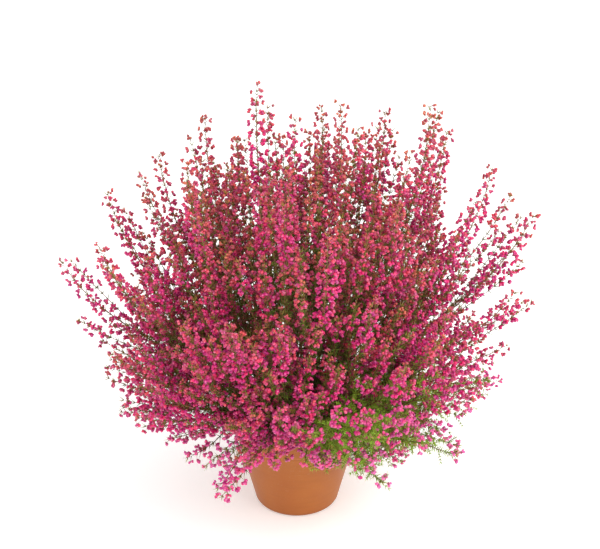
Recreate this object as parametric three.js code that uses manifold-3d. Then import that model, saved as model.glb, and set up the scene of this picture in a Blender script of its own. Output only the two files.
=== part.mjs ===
// A cape heath in flower, standing in a terracotta-coloured moulded pot.
// Millimetres, +Z up, origin at the centre of the pot's underside. X runs across the widest view of the
// bush, and -Y is the side that it shows best.
//
// The bush is some fifty shoots. Each stands in its own hole in the soil, arches out to its tip and
// carries a leading spire and side spires. Its needles stand in whorls of four. Its flower heads are
// knobs in alternating pairs, so that a spire in flower reads as a knobbly column.
import * as THREE from "three";
import { mergeVertices } from "three/addons/utils/BufferGeometryUtils.js";
import Module from "manifold-3d";

// Pot
const POT_HEIGHT = 97;
const POT_BASE_RADIUS = 38.5;
const POT_TAPER = 0.25; // growth of the wall's radius for each millimetre of height
const RIM_BAND_HEIGHT = 19;
const RIM_RADIUS = 61;
const RIM_STEP = 0.8; // how far the band's foot stands out from the wall
const WALL = 1.8;
const BASE_EDGE_RADIUS = 4;
const FLOOR = 2.4;
const DRAIN_HOLES = 5;
const DRAIN_HOLE_RADIUS = 4;
const DRAIN_CIRCLE_RADIUS = 20;
const POT_SIDES = 30;

// Soil
const SOIL_TOP = 86;
const SOIL_GAP = 0.35;
const SOIL_SIDES = 20;
const STEM_DEPTH = 7;
const STEM_GAP = 0.5;

// Bush
const SEED = 12;
const CROWN_RADIUS = 43; // where the stems of the lowest shoots leave the soil
const STEM_RADIUS = 1.5;
const TWIG_RADIUS = 0.9;
const LEAST_BEND = 56; // least length of the upright start that carries a shoot over the rim
const UPTURN = 0.48; // how much the tips of shoots turn up from their bearing, in radians
const ROOM = 0.9; // least room between spires of different shoots
const MEET_ANGLE = 11; // a row's shoot this close to an outline shoot gives way to it, in degrees
const SHIFTS = [0, 0.12, -0.12, 0.24, -0.24, 0.36, -0.36]; // shares of the spacing that it may move aside
const FRONT = 270; // bearing of the front in degrees
const FRONT_LIFT = 12; // the skirt is this much higher in front, where the pot shows, in degrees

// Tips of the shoots that draw the bush's outline, from the left over the top to the right, then the skirt
const OUTLINE_TIPS = [
  [-206, -5, 250],
  [-168, 35, 298],
  [-165, -45, 282],
  [-122, 50, 328],
  [-92, -5, 344],
  [-80, 60, 360],
  [-33, 15, 402],
  [22, 62, 366],
  [37, 5, 390],
  [77, 55, 366],
  [112, 10, 388],
  [134, 70, 342],
  [170, 25, 326],
  [209, 20, 284],
  [188, -40, 238],
  [172, -25, 142],
  [192, 30, 106],
  [140, -92, 104],
  [74, -124, 98],
  [-69, -108, 80],
  [-112, -84, 116],
  [-146, -50, 146],
  [-176, 0, 168],
];

// Rows of shoots that fill the rest: height above level in degrees, count round the pot, length to the tip
// and bearing of the first. The shoots of the short rows are slimmer and close the bush above the soil.
const ROWS = [
  { elevation: 12, count: 10, length: 168, bearing: 100 },
  { elevation: 30, count: 12, length: 200, bearing: 75 },
  { elevation: 48, count: 9, length: 240, bearing: 24 },
  { elevation: 65, count: 6, length: 268, bearing: 30 },
  { elevation: 80, count: 2, length: 285, bearing: 250 },
  { elevation: 16, count: 9, length: 104, bearing: 270, short: true },
  { elevation: 48, count: 9, length: 118, bearing: 248, short: true },
];

// Shoots with more leaves than flowers stand in this stretch of the skirt, in degrees
const LEAFY = { from: 282, to: 352, below: 24 };

// What grows along a stem: its radius, steps of the bare foot, whorls of needles and where the lowest
// stands, and the stretch in flower with the radius of its knobs and of the hollows between them
const LEADER = {
  radius: STEM_RADIUS,
  bare: 3,
  leaf: { from: 0.28, whorls: 2 },
  bloom: { share: 0.5, longest: 112, foot: 10.5, tip: 4.6, hollow: 4.6, tipHollow: 1.8 },
};
const SIDE = {
  radius: TWIG_RADIUS,
  bare: 1,
  leaf: { from: 0.3, whorls: 0 },
  bloom: { share: 0.58, longest: 72, foot: 10, tip: 4.6, hollow: 4.4, tipHollow: 1.8 },
};
const SLIM_SIDE = {
  radius: TWIG_RADIUS,
  bare: 1,
  leaf: { from: 0.3, whorls: 0 },
  bloom: { share: 0.66, longest: 60, foot: 7, tip: 4.4, hollow: 3.2, tipHollow: 1.8 },
};
const SHORT = {
  radius: STEM_RADIUS,
  bare: 2,
  leaf: { from: 0.2, whorls: 1 },
  bloom: { share: 0.6, longest: 70, foot: 8, tip: 4.6, hollow: 3.6, tipHollow: 1.8 },
};
const LEAFY_LEADER = {
  radius: STEM_RADIUS,
  bare: 3,
  leaf: { from: 0.28, whorls: 8 },
  bloom: { share: 0.1, longest: 16, foot: 7, tip: 5.5, hollow: 3, tipHollow: 2 },
};
const LEAFY_SIDE = {
  radius: TWIG_RADIUS,
  bare: 1,
  leaf: { from: 0.3, whorls: 6 },
  bloom: { share: 0, longest: 0, foot: 5.4, tip: 5.4, hollow: 2, tipHollow: 2 },
};
const KNOB_SPACING = 12;
const SIDES = 4;

// Rounds of side spires: where on the shoot they leave and end, how far aside they may stand, and which
// shoots have one, by height above level and by how far they bear from the front, in degrees. The last
// rounds close the front above the soil.
const SIDE_ROUNDS = [
  { kind: SIDE, leaves: 0.4, ends: 0.9, offsets: [36, 29, 22], below: 90, facing: 180 },
  { kind: SIDE, leaves: 0.17, ends: 0.64, offsets: [32, 26, 20], below: 90, facing: 180 },
  { kind: SIDE, leaves: 0.3, ends: 0.8, offsets: [36, 28, 21], below: 42, facing: 180 },
  { kind: SLIM_SIDE, leaves: 0.24, ends: 0.52, offsets: [26, 20, 14], below: 90, facing: 70 },
  { kind: SLIM_SIDE, leaves: 0.16, ends: 0.4, offsets: [22, 16, 12], below: 90, facing: 45 },
];
const SIDE_BEARINGS = 12;
const SIDE_FLOOR = 98; // side spires end above this height
const FRONT_SIDE_FLOOR = 130; // and above this one in front of the pot, so that they don't hide it

// Needles: reach from the stem's middle, how far their points stand above their roots, and how much each
// whorl is turned against the last, in radians
const NEEDLE_REACH = 5.4;
const NEEDLE_RISE = 3.4;
const WHORL_TURN = 0.7;
const KNOB_TURN = 0.2;

const BLOOM = { color: 0xb8436f, roughness: 0.62, metalness: 0 };
const LEAF = { color: 0x5d7434, roughness: 0.68, metalness: 0 };
const SOIL = { color: 0x3a2a1e, roughness: 0.95, metalness: 0 };
const TERRACOTTA = { color: 0xbe7043, roughness: 0.48, metalness: 0 };

const wasm = await Module();
wasm.setup();

// Repeatable draws between two values.
class Draws {
  constructor(seed) {
    this.state = seed * 2027 + 11;
  }
  between(low, high) {
    this.state = (this.state * 16807) % 2147483647;
    return low + ((high - low) * this.state) / 2147483647;
  }
}

const mix = (from, to, share) => from + (to - from) * share;
const radians = (degrees) => (degrees * Math.PI) / 180;

// A closed geometry as a manifold solid.
function solidOf(geometry) {
  const bare = geometry.clone();
  bare.deleteAttribute("normal");
  bare.deleteAttribute("uv");
  const merged = mergeVertices(bare, 1e-4);
  return new wasm.Manifold(
    new wasm.Mesh({
      numProp: 3,
      vertProperties: new Float32Array(merged.getAttribute("position").array),
      triVerts: new Uint32Array(merged.index.array),
    }),
  );
}

// A manifold solid as a mesh with its node's name.
function meshOf(solid, name, finish) {
  const { numProp, vertProperties, triVerts } = solid.getMesh();
  const places = new Float32Array((vertProperties.length / numProp) * 3);
  for (let i = 0; i < places.length / 3; i++) {
    places.set(vertProperties.subarray(i * numProp, i * numProp + 3), i * 3);
  }
  const geometry = new THREE.BufferGeometry();
  geometry.setAttribute("position", new THREE.BufferAttribute(places, 3));
  geometry.setIndex(new THREE.BufferAttribute(new Uint32Array(triVerts), 1));
  geometry.computeVertexNormals();
  const mesh = new THREE.Mesh(geometry, new THREE.MeshStandardMaterial(finish));
  mesh.name = name;
  return mesh;
}

// A profile of [radius, height] points turned about Z.
function turned(profile, sides) {
  const points = profile.map(([radius, height]) => new THREE.Vector2(radius, height));
  return new THREE.LatheGeometry(points, sides).rotateX(Math.PI / 2);
}

// A closed column of rings along a curve. Each ring has its place on the curve from 0 to 1, its turn, its
// rise along the curve and the radius of each corner. The foot is flat, and the tip is a point unless flat
// is set. The split of each quad follows the parity of ring and corner, so that corners which stand out in
// turn become separate knobs.
function column(curve, across, rings, flat = false) {
  const places = [];
  for (const { at, turn = 0, rise = 0, reach } of rings) {
    const middle = curve.getPoint(at);
    const along = curve.getTangent(at);
    const side = across.clone().addScaledVector(along, -across.dot(along)).normalize();
    const up = along.clone().cross(side);
    for (let corner = 0; corner < SIDES; corner++) {
      const angle = (2 * Math.PI * corner) / SIDES + turn;
      const place = middle.clone().addScaledVector(side, Math.cos(angle) * reach(corner));
      place.addScaledVector(up, Math.sin(angle) * reach(corner)).addScaledVector(along, rise);
      places.push(place);
    }
  }
  const faces = [];
  for (let ring = 0; ring < rings.length - 1; ring++) {
    for (let corner = 0; corner < SIDES; corner++) {
      const next = (corner + 1) % SIDES;
      const [a, b] = [ring * SIDES + corner, ring * SIDES + next];
      const [d, c] = [a + SIDES, b + SIDES];
      if ((ring + corner) % 2) faces.push(a, b, d, b, c, d);
      else faces.push(a, b, c, a, c, d);
    }
  }
  for (let corner = 1; corner < SIDES - 1; corner++) faces.push(0, corner + 1, corner);
  const last = (rings.length - 1) * SIDES;
  if (flat) {
    for (let corner = 1; corner < SIDES - 1; corner++) faces.push(last, last + corner, last + corner + 1);
  } else {
    places.push(curve.getPoint(1));
    for (let corner = 0; corner < SIDES; corner++) {
      faces.push(last + corner, last + ((corner + 1) % SIDES), last + SIDES);
    }
  }
  const geometry = new THREE.BufferGeometry().setFromPoints(places);
  geometry.setIndex(faces);
  return solidOf(geometry);
}

// The pot: tapered wall, rounded base edge, rim band and drain holes.
function makePot() {
  const bandFoot = POT_HEIGHT - RIM_BAND_HEIGHT;
  const wallAt = (height) => POT_BASE_RADIUS + POT_TAPER * height;
  const inner = RIM_RADIUS - WALL - RIM_STEP;
  const profile = [
    [0, 0],
    [POT_BASE_RADIUS - BASE_EDGE_RADIUS, 0],
    [POT_BASE_RADIUS - BASE_EDGE_RADIUS * 0.25, BASE_EDGE_RADIUS * 0.3],
    [wallAt(BASE_EDGE_RADIUS), BASE_EDGE_RADIUS],
    [wallAt(bandFoot), bandFoot],
    [wallAt(bandFoot) + RIM_STEP, bandFoot + 0.6],
    [RIM_RADIUS, POT_HEIGHT - 1],
    [RIM_RADIUS - 0.8, POT_HEIGHT],
    [inner + 0.4, POT_HEIGHT],
    [inner - 0.8, bandFoot + 2],
    [wallAt(bandFoot) - WALL, bandFoot - 1],
    [wallAt(0) - WALL, BASE_EDGE_RADIUS],
    [wallAt(0) - WALL - 3, FLOOR],
    [0, FLOOR],
  ];
  let pot = solidOf(turned(profile, POT_SIDES));
  for (let i = 0; i < DRAIN_HOLES; i++) {
    const turn = (2 * Math.PI * i) / DRAIN_HOLES;
    const drill = new THREE.CylinderGeometry(DRAIN_HOLE_RADIUS, DRAIN_HOLE_RADIUS, 20, 8)
      .rotateX(Math.PI / 2)
      .translate(DRAIN_CIRCLE_RADIUS * Math.cos(turn), DRAIN_CIRCLE_RADIUS * Math.sin(turn), 0);
    pot = pot.subtract(solidOf(drill));
  }
  return pot;
}

// The root ball: fills the pot with a small gap to its wall, with a plain hole for each stem.
function makeSoil(shoots) {
  const bandFoot = POT_HEIGHT - RIM_BAND_HEIGHT;
  const squeeze = Math.cos(Math.PI / POT_SIDES); // the flats of the pot's sides are nearer than its corners
  const wall = (height) => (POT_BASE_RADIUS + POT_TAPER * height - WALL) * squeeze - SOIL_GAP;
  const top = (RIM_RADIUS - WALL - RIM_STEP - 0.8) * squeeze - SOIL_GAP;
  const floor = FLOOR + SOIL_GAP;
  const profile = [
    [0, floor],
    [wall(0) - 3.2, floor],
    [wall(0) - 0.1, BASE_EDGE_RADIUS + 0.5],
    [wall(bandFoot - 2), bandFoot - 2],
    [top, bandFoot + 2.5],
    [top, SOIL_TOP - 2],
    [top - 3, SOIL_TOP],
    [0, SOIL_TOP],
  ];
  let soil = solidOf(turned(profile, SOIL_SIDES));
  for (const shoot of shoots) {
    const reach = () => STEM_RADIUS + STEM_GAP;
    const hole = [{ at: 0, rise: -1, reach }, { at: LEADER.leaf.from / LEADER.bare, reach }];
    soil = soil.subtract(column(shoot.curve, shoot.across, hole, true));
  }
  return soil;
}

// The path of a shoot from its hole in the soil to its tip: steep at the foot so that it clears the rim,
// then out along its bearing, and turned up again at the tip.
function shootTo(tip, draws) {
  const bearing = Math.atan2(tip.y, tip.x);
  const out = new THREE.Vector3(Math.cos(bearing), Math.sin(bearing), 0);
  const across = new THREE.Vector3(-Math.sin(bearing), Math.cos(bearing), 0);
  const level = Math.hypot(tip.x, tip.y);
  const elevation = Math.atan2(tip.z - SOIL_TOP, level);
  const length = Math.hypot(level, tip.z - SOIL_TOP);
  const lean = Math.min(1, 1 - elevation / (Math.PI / 2));
  const foot = out.clone().multiplyScalar(CROWN_RADIUS * Math.pow(lean, 0.7));
  foot.z = SOIL_TOP - STEM_DEPTH;
  const swing = draws.between(-5, 5);
  const steep = Math.max(elevation + radians(4), radians(70) - 0.3 * elevation);
  const start = Math.max(length * 0.33, LEAST_BEND);
  const first = foot.clone().addScaledVector(out, Math.cos(steep) * start).addScaledVector(across, swing);
  first.z += Math.sin(steep) * start;
  const heading = elevation + UPTURN * Math.sin(2 * (elevation - radians(6))) + draws.between(-0.04, 0.04);
  const last = tip.clone().addScaledVector(out, -Math.cos(heading) * length * 0.34);
  last.addScaledVector(across, -swing);
  last.z -= Math.sin(heading) * length * 0.34;
  const curve = new THREE.CubicBezierCurve3(foot, first, last, tip);
  const degrees = (bearing * 180) / Math.PI;
  const toward = degrees < 0 ? degrees + 360 : degrees;
  const low = elevation < radians(LEAFY.below);
  const leafy = low && toward > LEAFY.from && toward < LEAFY.to && draws.between(0, 1) < 0.8;
  const kind = leafy ? LEAFY_LEADER : LEADER;
  return { curve, across, tip, toward, elevation, leafy, kind, sides: [] };
}

// Unit vector from the crown towards a tip.
function directionOf(tip) {
  return new THREE.Vector3(tip.x, tip.y, tip.z - SOIL_TOP).normalize();
}

// A shoot of a row, at a bearing and height above level in radians.
function rowShoot(row, bearing, lift, length, draws) {
  const level = length * Math.cos(lift);
  const height = SOIL_TOP + length * Math.sin(lift);
  return shootTo(new THREE.Vector3(level * Math.cos(bearing), level * Math.sin(bearing), height), draws);
}

// All shoots: the outline's, then those of the rows. A row's shoot moves aside to where it has most room,
// and it is left out where it has none.
function planShoots(draws) {
  const shoots = OUTLINE_TIPS.map((tip) => shootTo(new THREE.Vector3(...tip), draws));
  const outline = shoots.map((shoot) => directionOf(shoot.tip));
  const taken = shoots.map((shoot) => roomOf(shoot.curve, shoot.kind));
  for (const row of ROWS) {
    for (let i = 0; i < row.count; i++) {
      const spread = 360 / row.count;
      const place = i + draws.between(-0.14, 0.14);
      const facing = Math.max(0, Math.cos(radians(row.bearing + spread * i - FRONT)));
      const skirt = Math.max(0, 1 - row.elevation / 40);
      const lift = radians(row.elevation + draws.between(-3, 3) + FRONT_LIFT * facing * facing * skirt);
      const length = row.length * draws.between(0.93, 1.05);
      let best = { room: ROOM };
      for (const shift of SHIFTS) {
        const bearing = radians(row.bearing + spread * (place + shift));
        const shoot = rowShoot(row, bearing, lift, length, draws);
        if (row.short) shoot.kind = SHORT;
        const samples = roomOf(shoot.curve, shoot.kind);
        const nearest = Math.min(...outline.map((other) => other.angleTo(directionOf(shoot.tip))));
        if (!row.short && nearest < radians(MEET_ANGLE)) continue;
        const room = Math.min(...taken.map((other) => roomBetween(samples.slice(2), other)));
        if (room > best.room) best = { room, shoot, samples };
      }
      if (!best.shoot) continue;
      shoots.push(best.shoot);
      taken.push(best.samples);
    }
  }
  return shoots;
}

// Where along a curve its flowers begin.
function bloomFrom(curve, { share, longest }) {
  return 1 - Math.min(share, longest / curve.getLength());
}

// Points along a curve with the radius that a spire takes up there.
function roomOf(curve, { bloom }) {
  const from = bloomFrom(curve, bloom);
  const samples = [];
  for (let i = 0; i <= 14; i++) {
    const t = i / 14;
    const share = (t - from) / (1 - from);
    const knob = mix(bloom.foot, bloom.tip, Math.max(0, share) ** 1.4);
    samples.push({ place: curve.getPoint(t), radius: share < -0.06 ? NEEDLE_REACH - 2 : knob });
  }
  return samples;
}

// Least room between two lists of samples.
function roomBetween(some, others) {
  let least = Infinity;
  for (const a of some) {
    for (const b of others) {
      least = Math.min(least, a.place.distanceTo(b.place) - a.radius - b.radius);
    }
  }
  return least;
}

// Least room between samples and the pot.
function roomToPot(samples) {
  const rooms = samples.map(({ place, radius }) => {
    const beside = Math.hypot(place.x, place.y) - RIM_RADIUS;
    return Math.max(place.z - POT_HEIGHT, beside) - radius;
  });
  return Math.min(...rooms);
}

// A side spire leaves its shoot, swings out and then runs beside it.
function sideCurve(shoot, leaves, ends, turn, offset) {
  const push = (t, distance) => {
    const up = shoot.curve.getTangent(t).cross(shoot.across);
    const place = shoot.curve.getPoint(t).addScaledVector(shoot.across, Math.cos(turn) * distance);
    return place.addScaledVector(up, Math.sin(turn) * distance);
  };
  const middle = push(mix(leaves, ends, 0.42), offset * 0.85);
  return new THREE.QuadraticBezierCurve3(shoot.curve.getPoint(leaves), middle, push(ends, offset));
}

// Side spires grow where there is most room, one for each shoot in turn.
function growSides(shoots, draws) {
  const taken = shoots.map((shoot) => [roomOf(shoot.curve, shoot.kind)]);
  const freeOf = (index, samples) => {
    const own = taken[index];
    const tip = samples.at(-1).place;
    const hides = tip.y < 0 && Math.abs(tip.x) < RIM_RADIUS;
    const floor = hides ? FRONT_SIDE_FLOOR : SIDE_FLOOR;
    let room = Math.min(roomToPot(samples.slice(1)), tip.z - floor);
    room = Math.min(room, roomBetween(samples.slice(9), own[0].slice(6)) + 6);
    for (const spire of own.slice(1)) {
      room = Math.min(room, roomBetween(samples.slice(6), spire.slice(6)) + 3);
    }
    taken.forEach((spires, other) => {
      if (other === index) return;
      for (const spire of spires) room = Math.min(room, roomBetween(samples.slice(1), spire));
    });
    return room;
  };
  for (const round of SIDE_ROUNDS) {
    shoots.forEach((shoot, index) => {
      const aside = Math.abs(((shoot.toward - FRONT + 540) % 360) - 180);
      if (shoot.elevation > radians(round.below) || aside > round.facing) return;
      const leaves = round.leaves + draws.between(-0.03, 0.03);
      const ends = round.ends + draws.between(-0.04, 0.04);
      let best = { room: ROOM };
      for (const offset of round.offsets) {
        for (let k = 0; k < SIDE_BEARINGS; k++) {
          const turn = (2 * Math.PI * k) / SIDE_BEARINGS;
          const curve = sideCurve(shoot, leaves, ends, turn, offset);
          const samples = roomOf(curve, round.kind);
          const room = freeOf(index, samples);
          if (room > best.room) best = { room, curve, samples };
        }
      }
      if (!best.curve) return;
      shoot.sides.push({ curve: best.curve, kind: shoot.leafy ? LEAFY_SIDE : round.kind });
      taken[index].push(best.samples);
    });
  }
}

// One stem with all that grows along it: the bare foot, whorls of needles, then flower heads as knobs in
// alternating pairs that get smaller to the tip.
function grow(curve, across, { radius, bare, leaf, bloom }) {
  const from = bloomFrom(curve, bloom);
  const rings = [];
  for (let step = 0; step < bare; step++) {
    rings.push({ at: (leaf.from * step) / bare, reach: () => radius });
  }
  for (let whorl = 0; whorl < leaf.whorls; whorl++) {
    const spaced = (share) => mix(leaf.from, from - 0.03, (whorl + share) / leaf.whorls);
    const thin = mix(radius, TWIG_RADIUS, whorl / leaf.whorls);
    const turn = WHORL_TURN * whorl;
    rings.push({ at: spaced(0), turn, reach: () => thin });
    rings.push({ at: spaced(0.35), turn, rise: NEEDLE_RISE, reach: () => NEEDLE_REACH });
  }
  const knobs = Math.round(((1 - from) * curve.getLength()) / KNOB_SPACING);
  if (knobs && !leaf.whorls) rings.push({ at: from - 0.02, reach: () => TWIG_RADIUS });
  for (let step = 0; step < knobs; step++) {
    const share = step / Math.max(1, knobs - 1);
    const knob = mix(bloom.foot, bloom.tip, share ** 1.4);
    const hollow = mix(bloom.hollow, bloom.tipHollow, share);
    const parity = rings.length % 2;
    const reach = (corner) => ((corner + parity) % 2 ? knob : hollow);
    rings.push({ at: mix(from, 1, step / knobs), turn: KNOB_TURN * step, reach });
  }
  return column(curve, across, rings);
}

// One shoot with its side spires, fused into one body.
function makeShoot({ curve, across, sides, kind }) {
  let body = grow(curve, across, kind);
  for (const side of sides) body = body.add(grow(side.curve, across, side.kind));
  return body;
}

const draws = new Draws(SEED);
const shoots = planShoots(draws);
growSides(shoots, draws);

const heath = new THREE.Group();
heath.add(meshOf(makePot(), "pot", TERRACOTTA));
heath.add(meshOf(makeSoil(shoots), "soil", SOIL));
shoots.forEach((shoot, index) => {
  const name = "shoot_" + String(index + 1).padStart(2, "0");
  heath.add(meshOf(makeShoot(shoot), name, shoot.leafy ? LEAF : BLOOM));
});

export default heath;
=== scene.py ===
"""Dresses a potted cape heath: a bush of flower spires and fine needles in a terracotta-coloured pot.

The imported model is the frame. The rule that lays out its shoots is repeated here with the same named
values and the same seeded draws, so each shoot of the scene grows along the shoot that it replaces.
Layout sizes are in millimetres, and become metres when a mesh is made.
"""

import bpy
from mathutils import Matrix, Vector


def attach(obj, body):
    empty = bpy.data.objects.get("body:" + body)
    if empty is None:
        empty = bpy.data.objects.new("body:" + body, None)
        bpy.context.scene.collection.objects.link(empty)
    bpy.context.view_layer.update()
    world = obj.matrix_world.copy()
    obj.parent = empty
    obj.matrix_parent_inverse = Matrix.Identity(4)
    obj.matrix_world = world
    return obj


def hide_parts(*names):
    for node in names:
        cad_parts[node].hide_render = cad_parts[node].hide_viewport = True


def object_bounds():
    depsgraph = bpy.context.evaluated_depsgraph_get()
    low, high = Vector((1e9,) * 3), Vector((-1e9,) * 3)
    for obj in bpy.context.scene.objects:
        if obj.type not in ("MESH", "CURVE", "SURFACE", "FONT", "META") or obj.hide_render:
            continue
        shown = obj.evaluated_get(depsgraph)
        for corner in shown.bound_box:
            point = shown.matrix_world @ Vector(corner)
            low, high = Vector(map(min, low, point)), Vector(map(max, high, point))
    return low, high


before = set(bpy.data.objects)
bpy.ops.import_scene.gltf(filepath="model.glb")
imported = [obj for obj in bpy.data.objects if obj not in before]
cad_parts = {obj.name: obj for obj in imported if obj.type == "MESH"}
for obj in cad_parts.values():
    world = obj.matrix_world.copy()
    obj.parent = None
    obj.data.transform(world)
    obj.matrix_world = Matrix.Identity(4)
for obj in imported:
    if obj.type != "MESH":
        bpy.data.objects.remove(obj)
CAD_BOX = [list(corner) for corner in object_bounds()]

import logging
import math
from dataclasses import dataclass, field, fields
from enum import Enum
from functools import lru_cache
from typing import Callable, ClassVar

import bmesh
import bpy
import numpy as np

MM = 0.001
GOLDEN_TURN = math.radians(137.5)
ANY_TURN = 6  # range in radians of a draw that starts a pattern anywhere round
BODY = "root"
GROWTH = "growth"  # attribute of a piece's points that its material reads

Array = np.ndarray
Chance = np.random.Generator
Span = tuple[float, float]
Triple = tuple[float, float, float]
Colour = tuple[float, float, float, float]
Window = tuple[float, float, float, float]  # left, bottom, width and height in the bake map
Rings = list[tuple[float, float]]  # height and radius of each
Ramp = tuple[Span, Span]  # two values, and the two shares that they become
Outline = tuple[Span, ...]  # height and radius of each ring against a named place
Piece = bpy.types.Object
Material = bpy.types.Material
Node = bpy.types.Node
NodeSocket = bpy.types.NodeSocket
NodeTree = bpy.types.NodeTree

log = logging.getLogger("heath")


def mix(low: float, high: float, share: float) -> float:
    """Value at a share of the way from low to high."""
    return low + (high - low) * share


def fade(value: float, full: float, none: float) -> float:
    """One up to the value full, then less and less, and zero from the value none on."""
    return min(1.0, max(0.0, (none - value) / (none - full)))


def degrees_apart(some: float, other: float) -> float:
    """How far two bearings in degrees lie apart, either way round."""
    return abs((some - other + 540) % 360 - 180)


class Draws:
    """Repeatable draws, the same as those that lay out the frame's shoots."""

    factor: int = 16807
    modulus: int = 2147483647
    seed_factor: int = 2027
    seed_shift: int = 11

    def __init__(self, seed: int) -> None:
        """Starts the row of draws at a seed."""
        self.state = seed * self.seed_factor + self.seed_shift

    def between(self, low: float, high: float) -> float:
        """Next draw between two values."""
        self.state = (self.state * self.factor) % self.modulus
        return low + ((high - low) * self.state) / self.modulus

    def about(self, play: float) -> float:
        """Next draw between minus play and play."""
        return self.between(-play, play)


class Arc:
    """A Bezier curve on a few control points, in millimetres."""

    nudge: float = 0.0001  # share of the curve to each side of a place, over which its direction is taken
    length_steps: int = 200

    def __init__(self, *controls: Array) -> None:
        """Keeps the control points, foot first."""
        self.controls = np.array(controls, float)

    def points(self, shares: Array) -> Array:
        """Places along the curve.

        Args:
            shares: where on the curve, from 0 at its foot to 1 at its tip.

        Returns:
            One row of x, y, z for each share.
        """
        return pull_of_controls(np.asarray(shares, float), len(self.controls) - 1) @ self.controls

    def even_points(self, steps: int) -> Array:
        """Places at even steps of share along the curve, both ends included."""
        return even_pull(steps, len(self.controls) - 1) @ self.controls

    def tangents(self, shares: Array) -> Array:
        """Unit directions along the curve, one row for each share."""
        shares = np.asarray(shares, float)
        ahead = self.points(np.minimum(1, shares + self.nudge))
        behind = self.points(np.maximum(0, shares - self.nudge))
        return unit(ahead - behind)

    def point(self, share: float) -> Array:
        """One place along the curve."""
        return self.points([share])[0]

    def tangent(self, share: float) -> Array:
        """Unit direction at one place along the curve."""
        return self.tangents([share])[0]

    def length(self) -> float:
        """Length in millimetres."""
        steps = np.diff(self.even_points(self.length_steps), axis=0)
        return float(np.sqrt((steps * steps).sum(axis=1)).sum())


def pull_of_controls(shares: Array, degree: int) -> Array:
    """How much each control point of a Bezier curve pulls at each share of it."""
    t = shares[:, None]
    order = np.arange(degree + 1)[None]
    ways = np.array([math.comb(degree, k) for k in range(degree + 1)])
    return ways * t**order * (1 - t) ** (degree - order)


@lru_cache(maxsize=None)
def even_pull(steps: int, degree: int) -> Array:
    """The pull of control points at even steps, both ends included."""
    return pull_of_controls(np.linspace(0, 1, steps + 1), degree)


def unit(rows: Array) -> Array:
    """Rows of vectors scaled to a length of one."""
    return rows / np.maximum(np.linalg.norm(rows, axis=-1, keepdims=True), 1e-12)


@dataclass(frozen=True)
class Habit:
    """How one kind of stem grows.

    Sizes are in millimetres. The flowering stretch is a share of the stem, but never longer than
    longest, and foot and tip are the radius of the spire of flowers at its two ends. The whorls of
    needles have one spacing below the flowers and one among them, and the umbels have their own. The
    room that a stem takes up is sampled at even steps. Its flowers count from a little below the first.
    """

    stem: float
    share: float
    longest: float
    foot: float
    tip: float
    whorls: Span
    umbels: float
    steps: int = 14
    narrowing: float = 1.4
    first_flower: float = -0.06

    def bloom_from(self, arc: Arc) -> float:
        """Share of the stem at which its flowers begin."""
        return 1 - min(self.share, self.longest / arc.length())

    def room_of(self, arc: Arc, needle_room: float) -> Array:
        """Room that a spire takes up.

        Args:
            arc: the spire's stem.
            needle_room: radius below the flowers.

        Returns:
            Rows of x, y, z and radius, one more than there are steps.
        """
        begin = self.bloom_from(arc)
        shares = np.arange(self.steps + 1) / self.steps
        along = (shares - begin) / (1 - begin)
        knob = self.foot + (self.tip - self.foot) * np.maximum(0, along) ** self.narrowing
        radius = np.where(along < self.first_flower, needle_room, knob)
        return np.column_stack([arc.even_points(self.steps), radius])


LEADER = Habit(1.5, share=0.5, longest=112, foot=10.5, tip=4.6, whorls=(7.0, 9.0), umbels=2.5)
SIDE = Habit(0.9, share=0.58, longest=72, foot=10, tip=4.6, whorls=(7.0, 8.0), umbels=2.75)
SLIM_SIDE = Habit(0.9, share=0.66, longest=60, foot=7, tip=4.4, whorls=(6.0, 7.0), umbels=2.9)
SHORT = Habit(1.5, share=0.6, longest=70, foot=8, tip=4.6, whorls=(5.0, 6.0), umbels=2.7)
LEAFY_LEADER = Habit(1.5, share=0.1, longest=16, foot=7, tip=5.5, whorls=(2.8, 3.0), umbels=2.0)
INNER = Habit(1.2, share=0.6, longest=66, foot=8.5, tip=4.4, whorls=(8.0, 6.5), umbels=3.0)
CUSHION = Habit(0.9, share=0.1, longest=8, foot=6, tip=5, whorls=(2.8, 2.8), umbels=2.4)
CORE = Habit(0.9, share=0.08, longest=6, foot=5, tip=4, whorls=(3.4, 3.4), umbels=3.0)
RIM_SPRAY = Habit(0.9, share=0.44, longest=34, foot=8, tip=5, whorls=(3.5, 5.0), umbels=2.2)
SPRIG = Habit(0.6, share=0.46, longest=34, foot=6.4, tip=4.2, whorls=(6.0, 4.2), umbels=3.35)


@dataclass(frozen=True)
class Stem:
    """A side stem: its path and how it grows."""

    arc: Arc
    habit: Habit


@dataclass
class Shoot:
    """One shoot of the bush: its own stem and the side stems that leave it.

    Its bearing, toward, is in degrees, and its height above level, elevation, in radians.
    """

    arc: Arc
    across: Array
    tip: Array
    toward: float
    elevation: float
    leafy: bool
    habit: Habit
    sides: list[Stem] = field(default_factory=list)

    def rooms(self, needle_room: float) -> list[Array]:
        """Room that its own stem and each of its side stems take up."""
        stems = [Stem(self.arc, self.habit), *self.sides]
        return [stem.habit.room_of(stem.arc, needle_room) for stem in stems]


@dataclass(frozen=True)
class Row:
    """Shoots set round the pot at one height above level, in degrees, and one length to the tip."""

    elevation: float
    count: int
    length: float
    bearing: float
    short: bool = False


@dataclass(frozen=True)
class SideRound:
    """One side stem for each shoot.

    It says how the side stem grows, where it leaves and ends along the shoot, how far out it may swing,
    and which shoots have one, by their height above level and by how far they bear from the front, in
    degrees.
    """

    habit: Habit
    leaves: float
    ends: float
    offsets: tuple[float, ...]
    below: float = 90
    facing: float = 180


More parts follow.
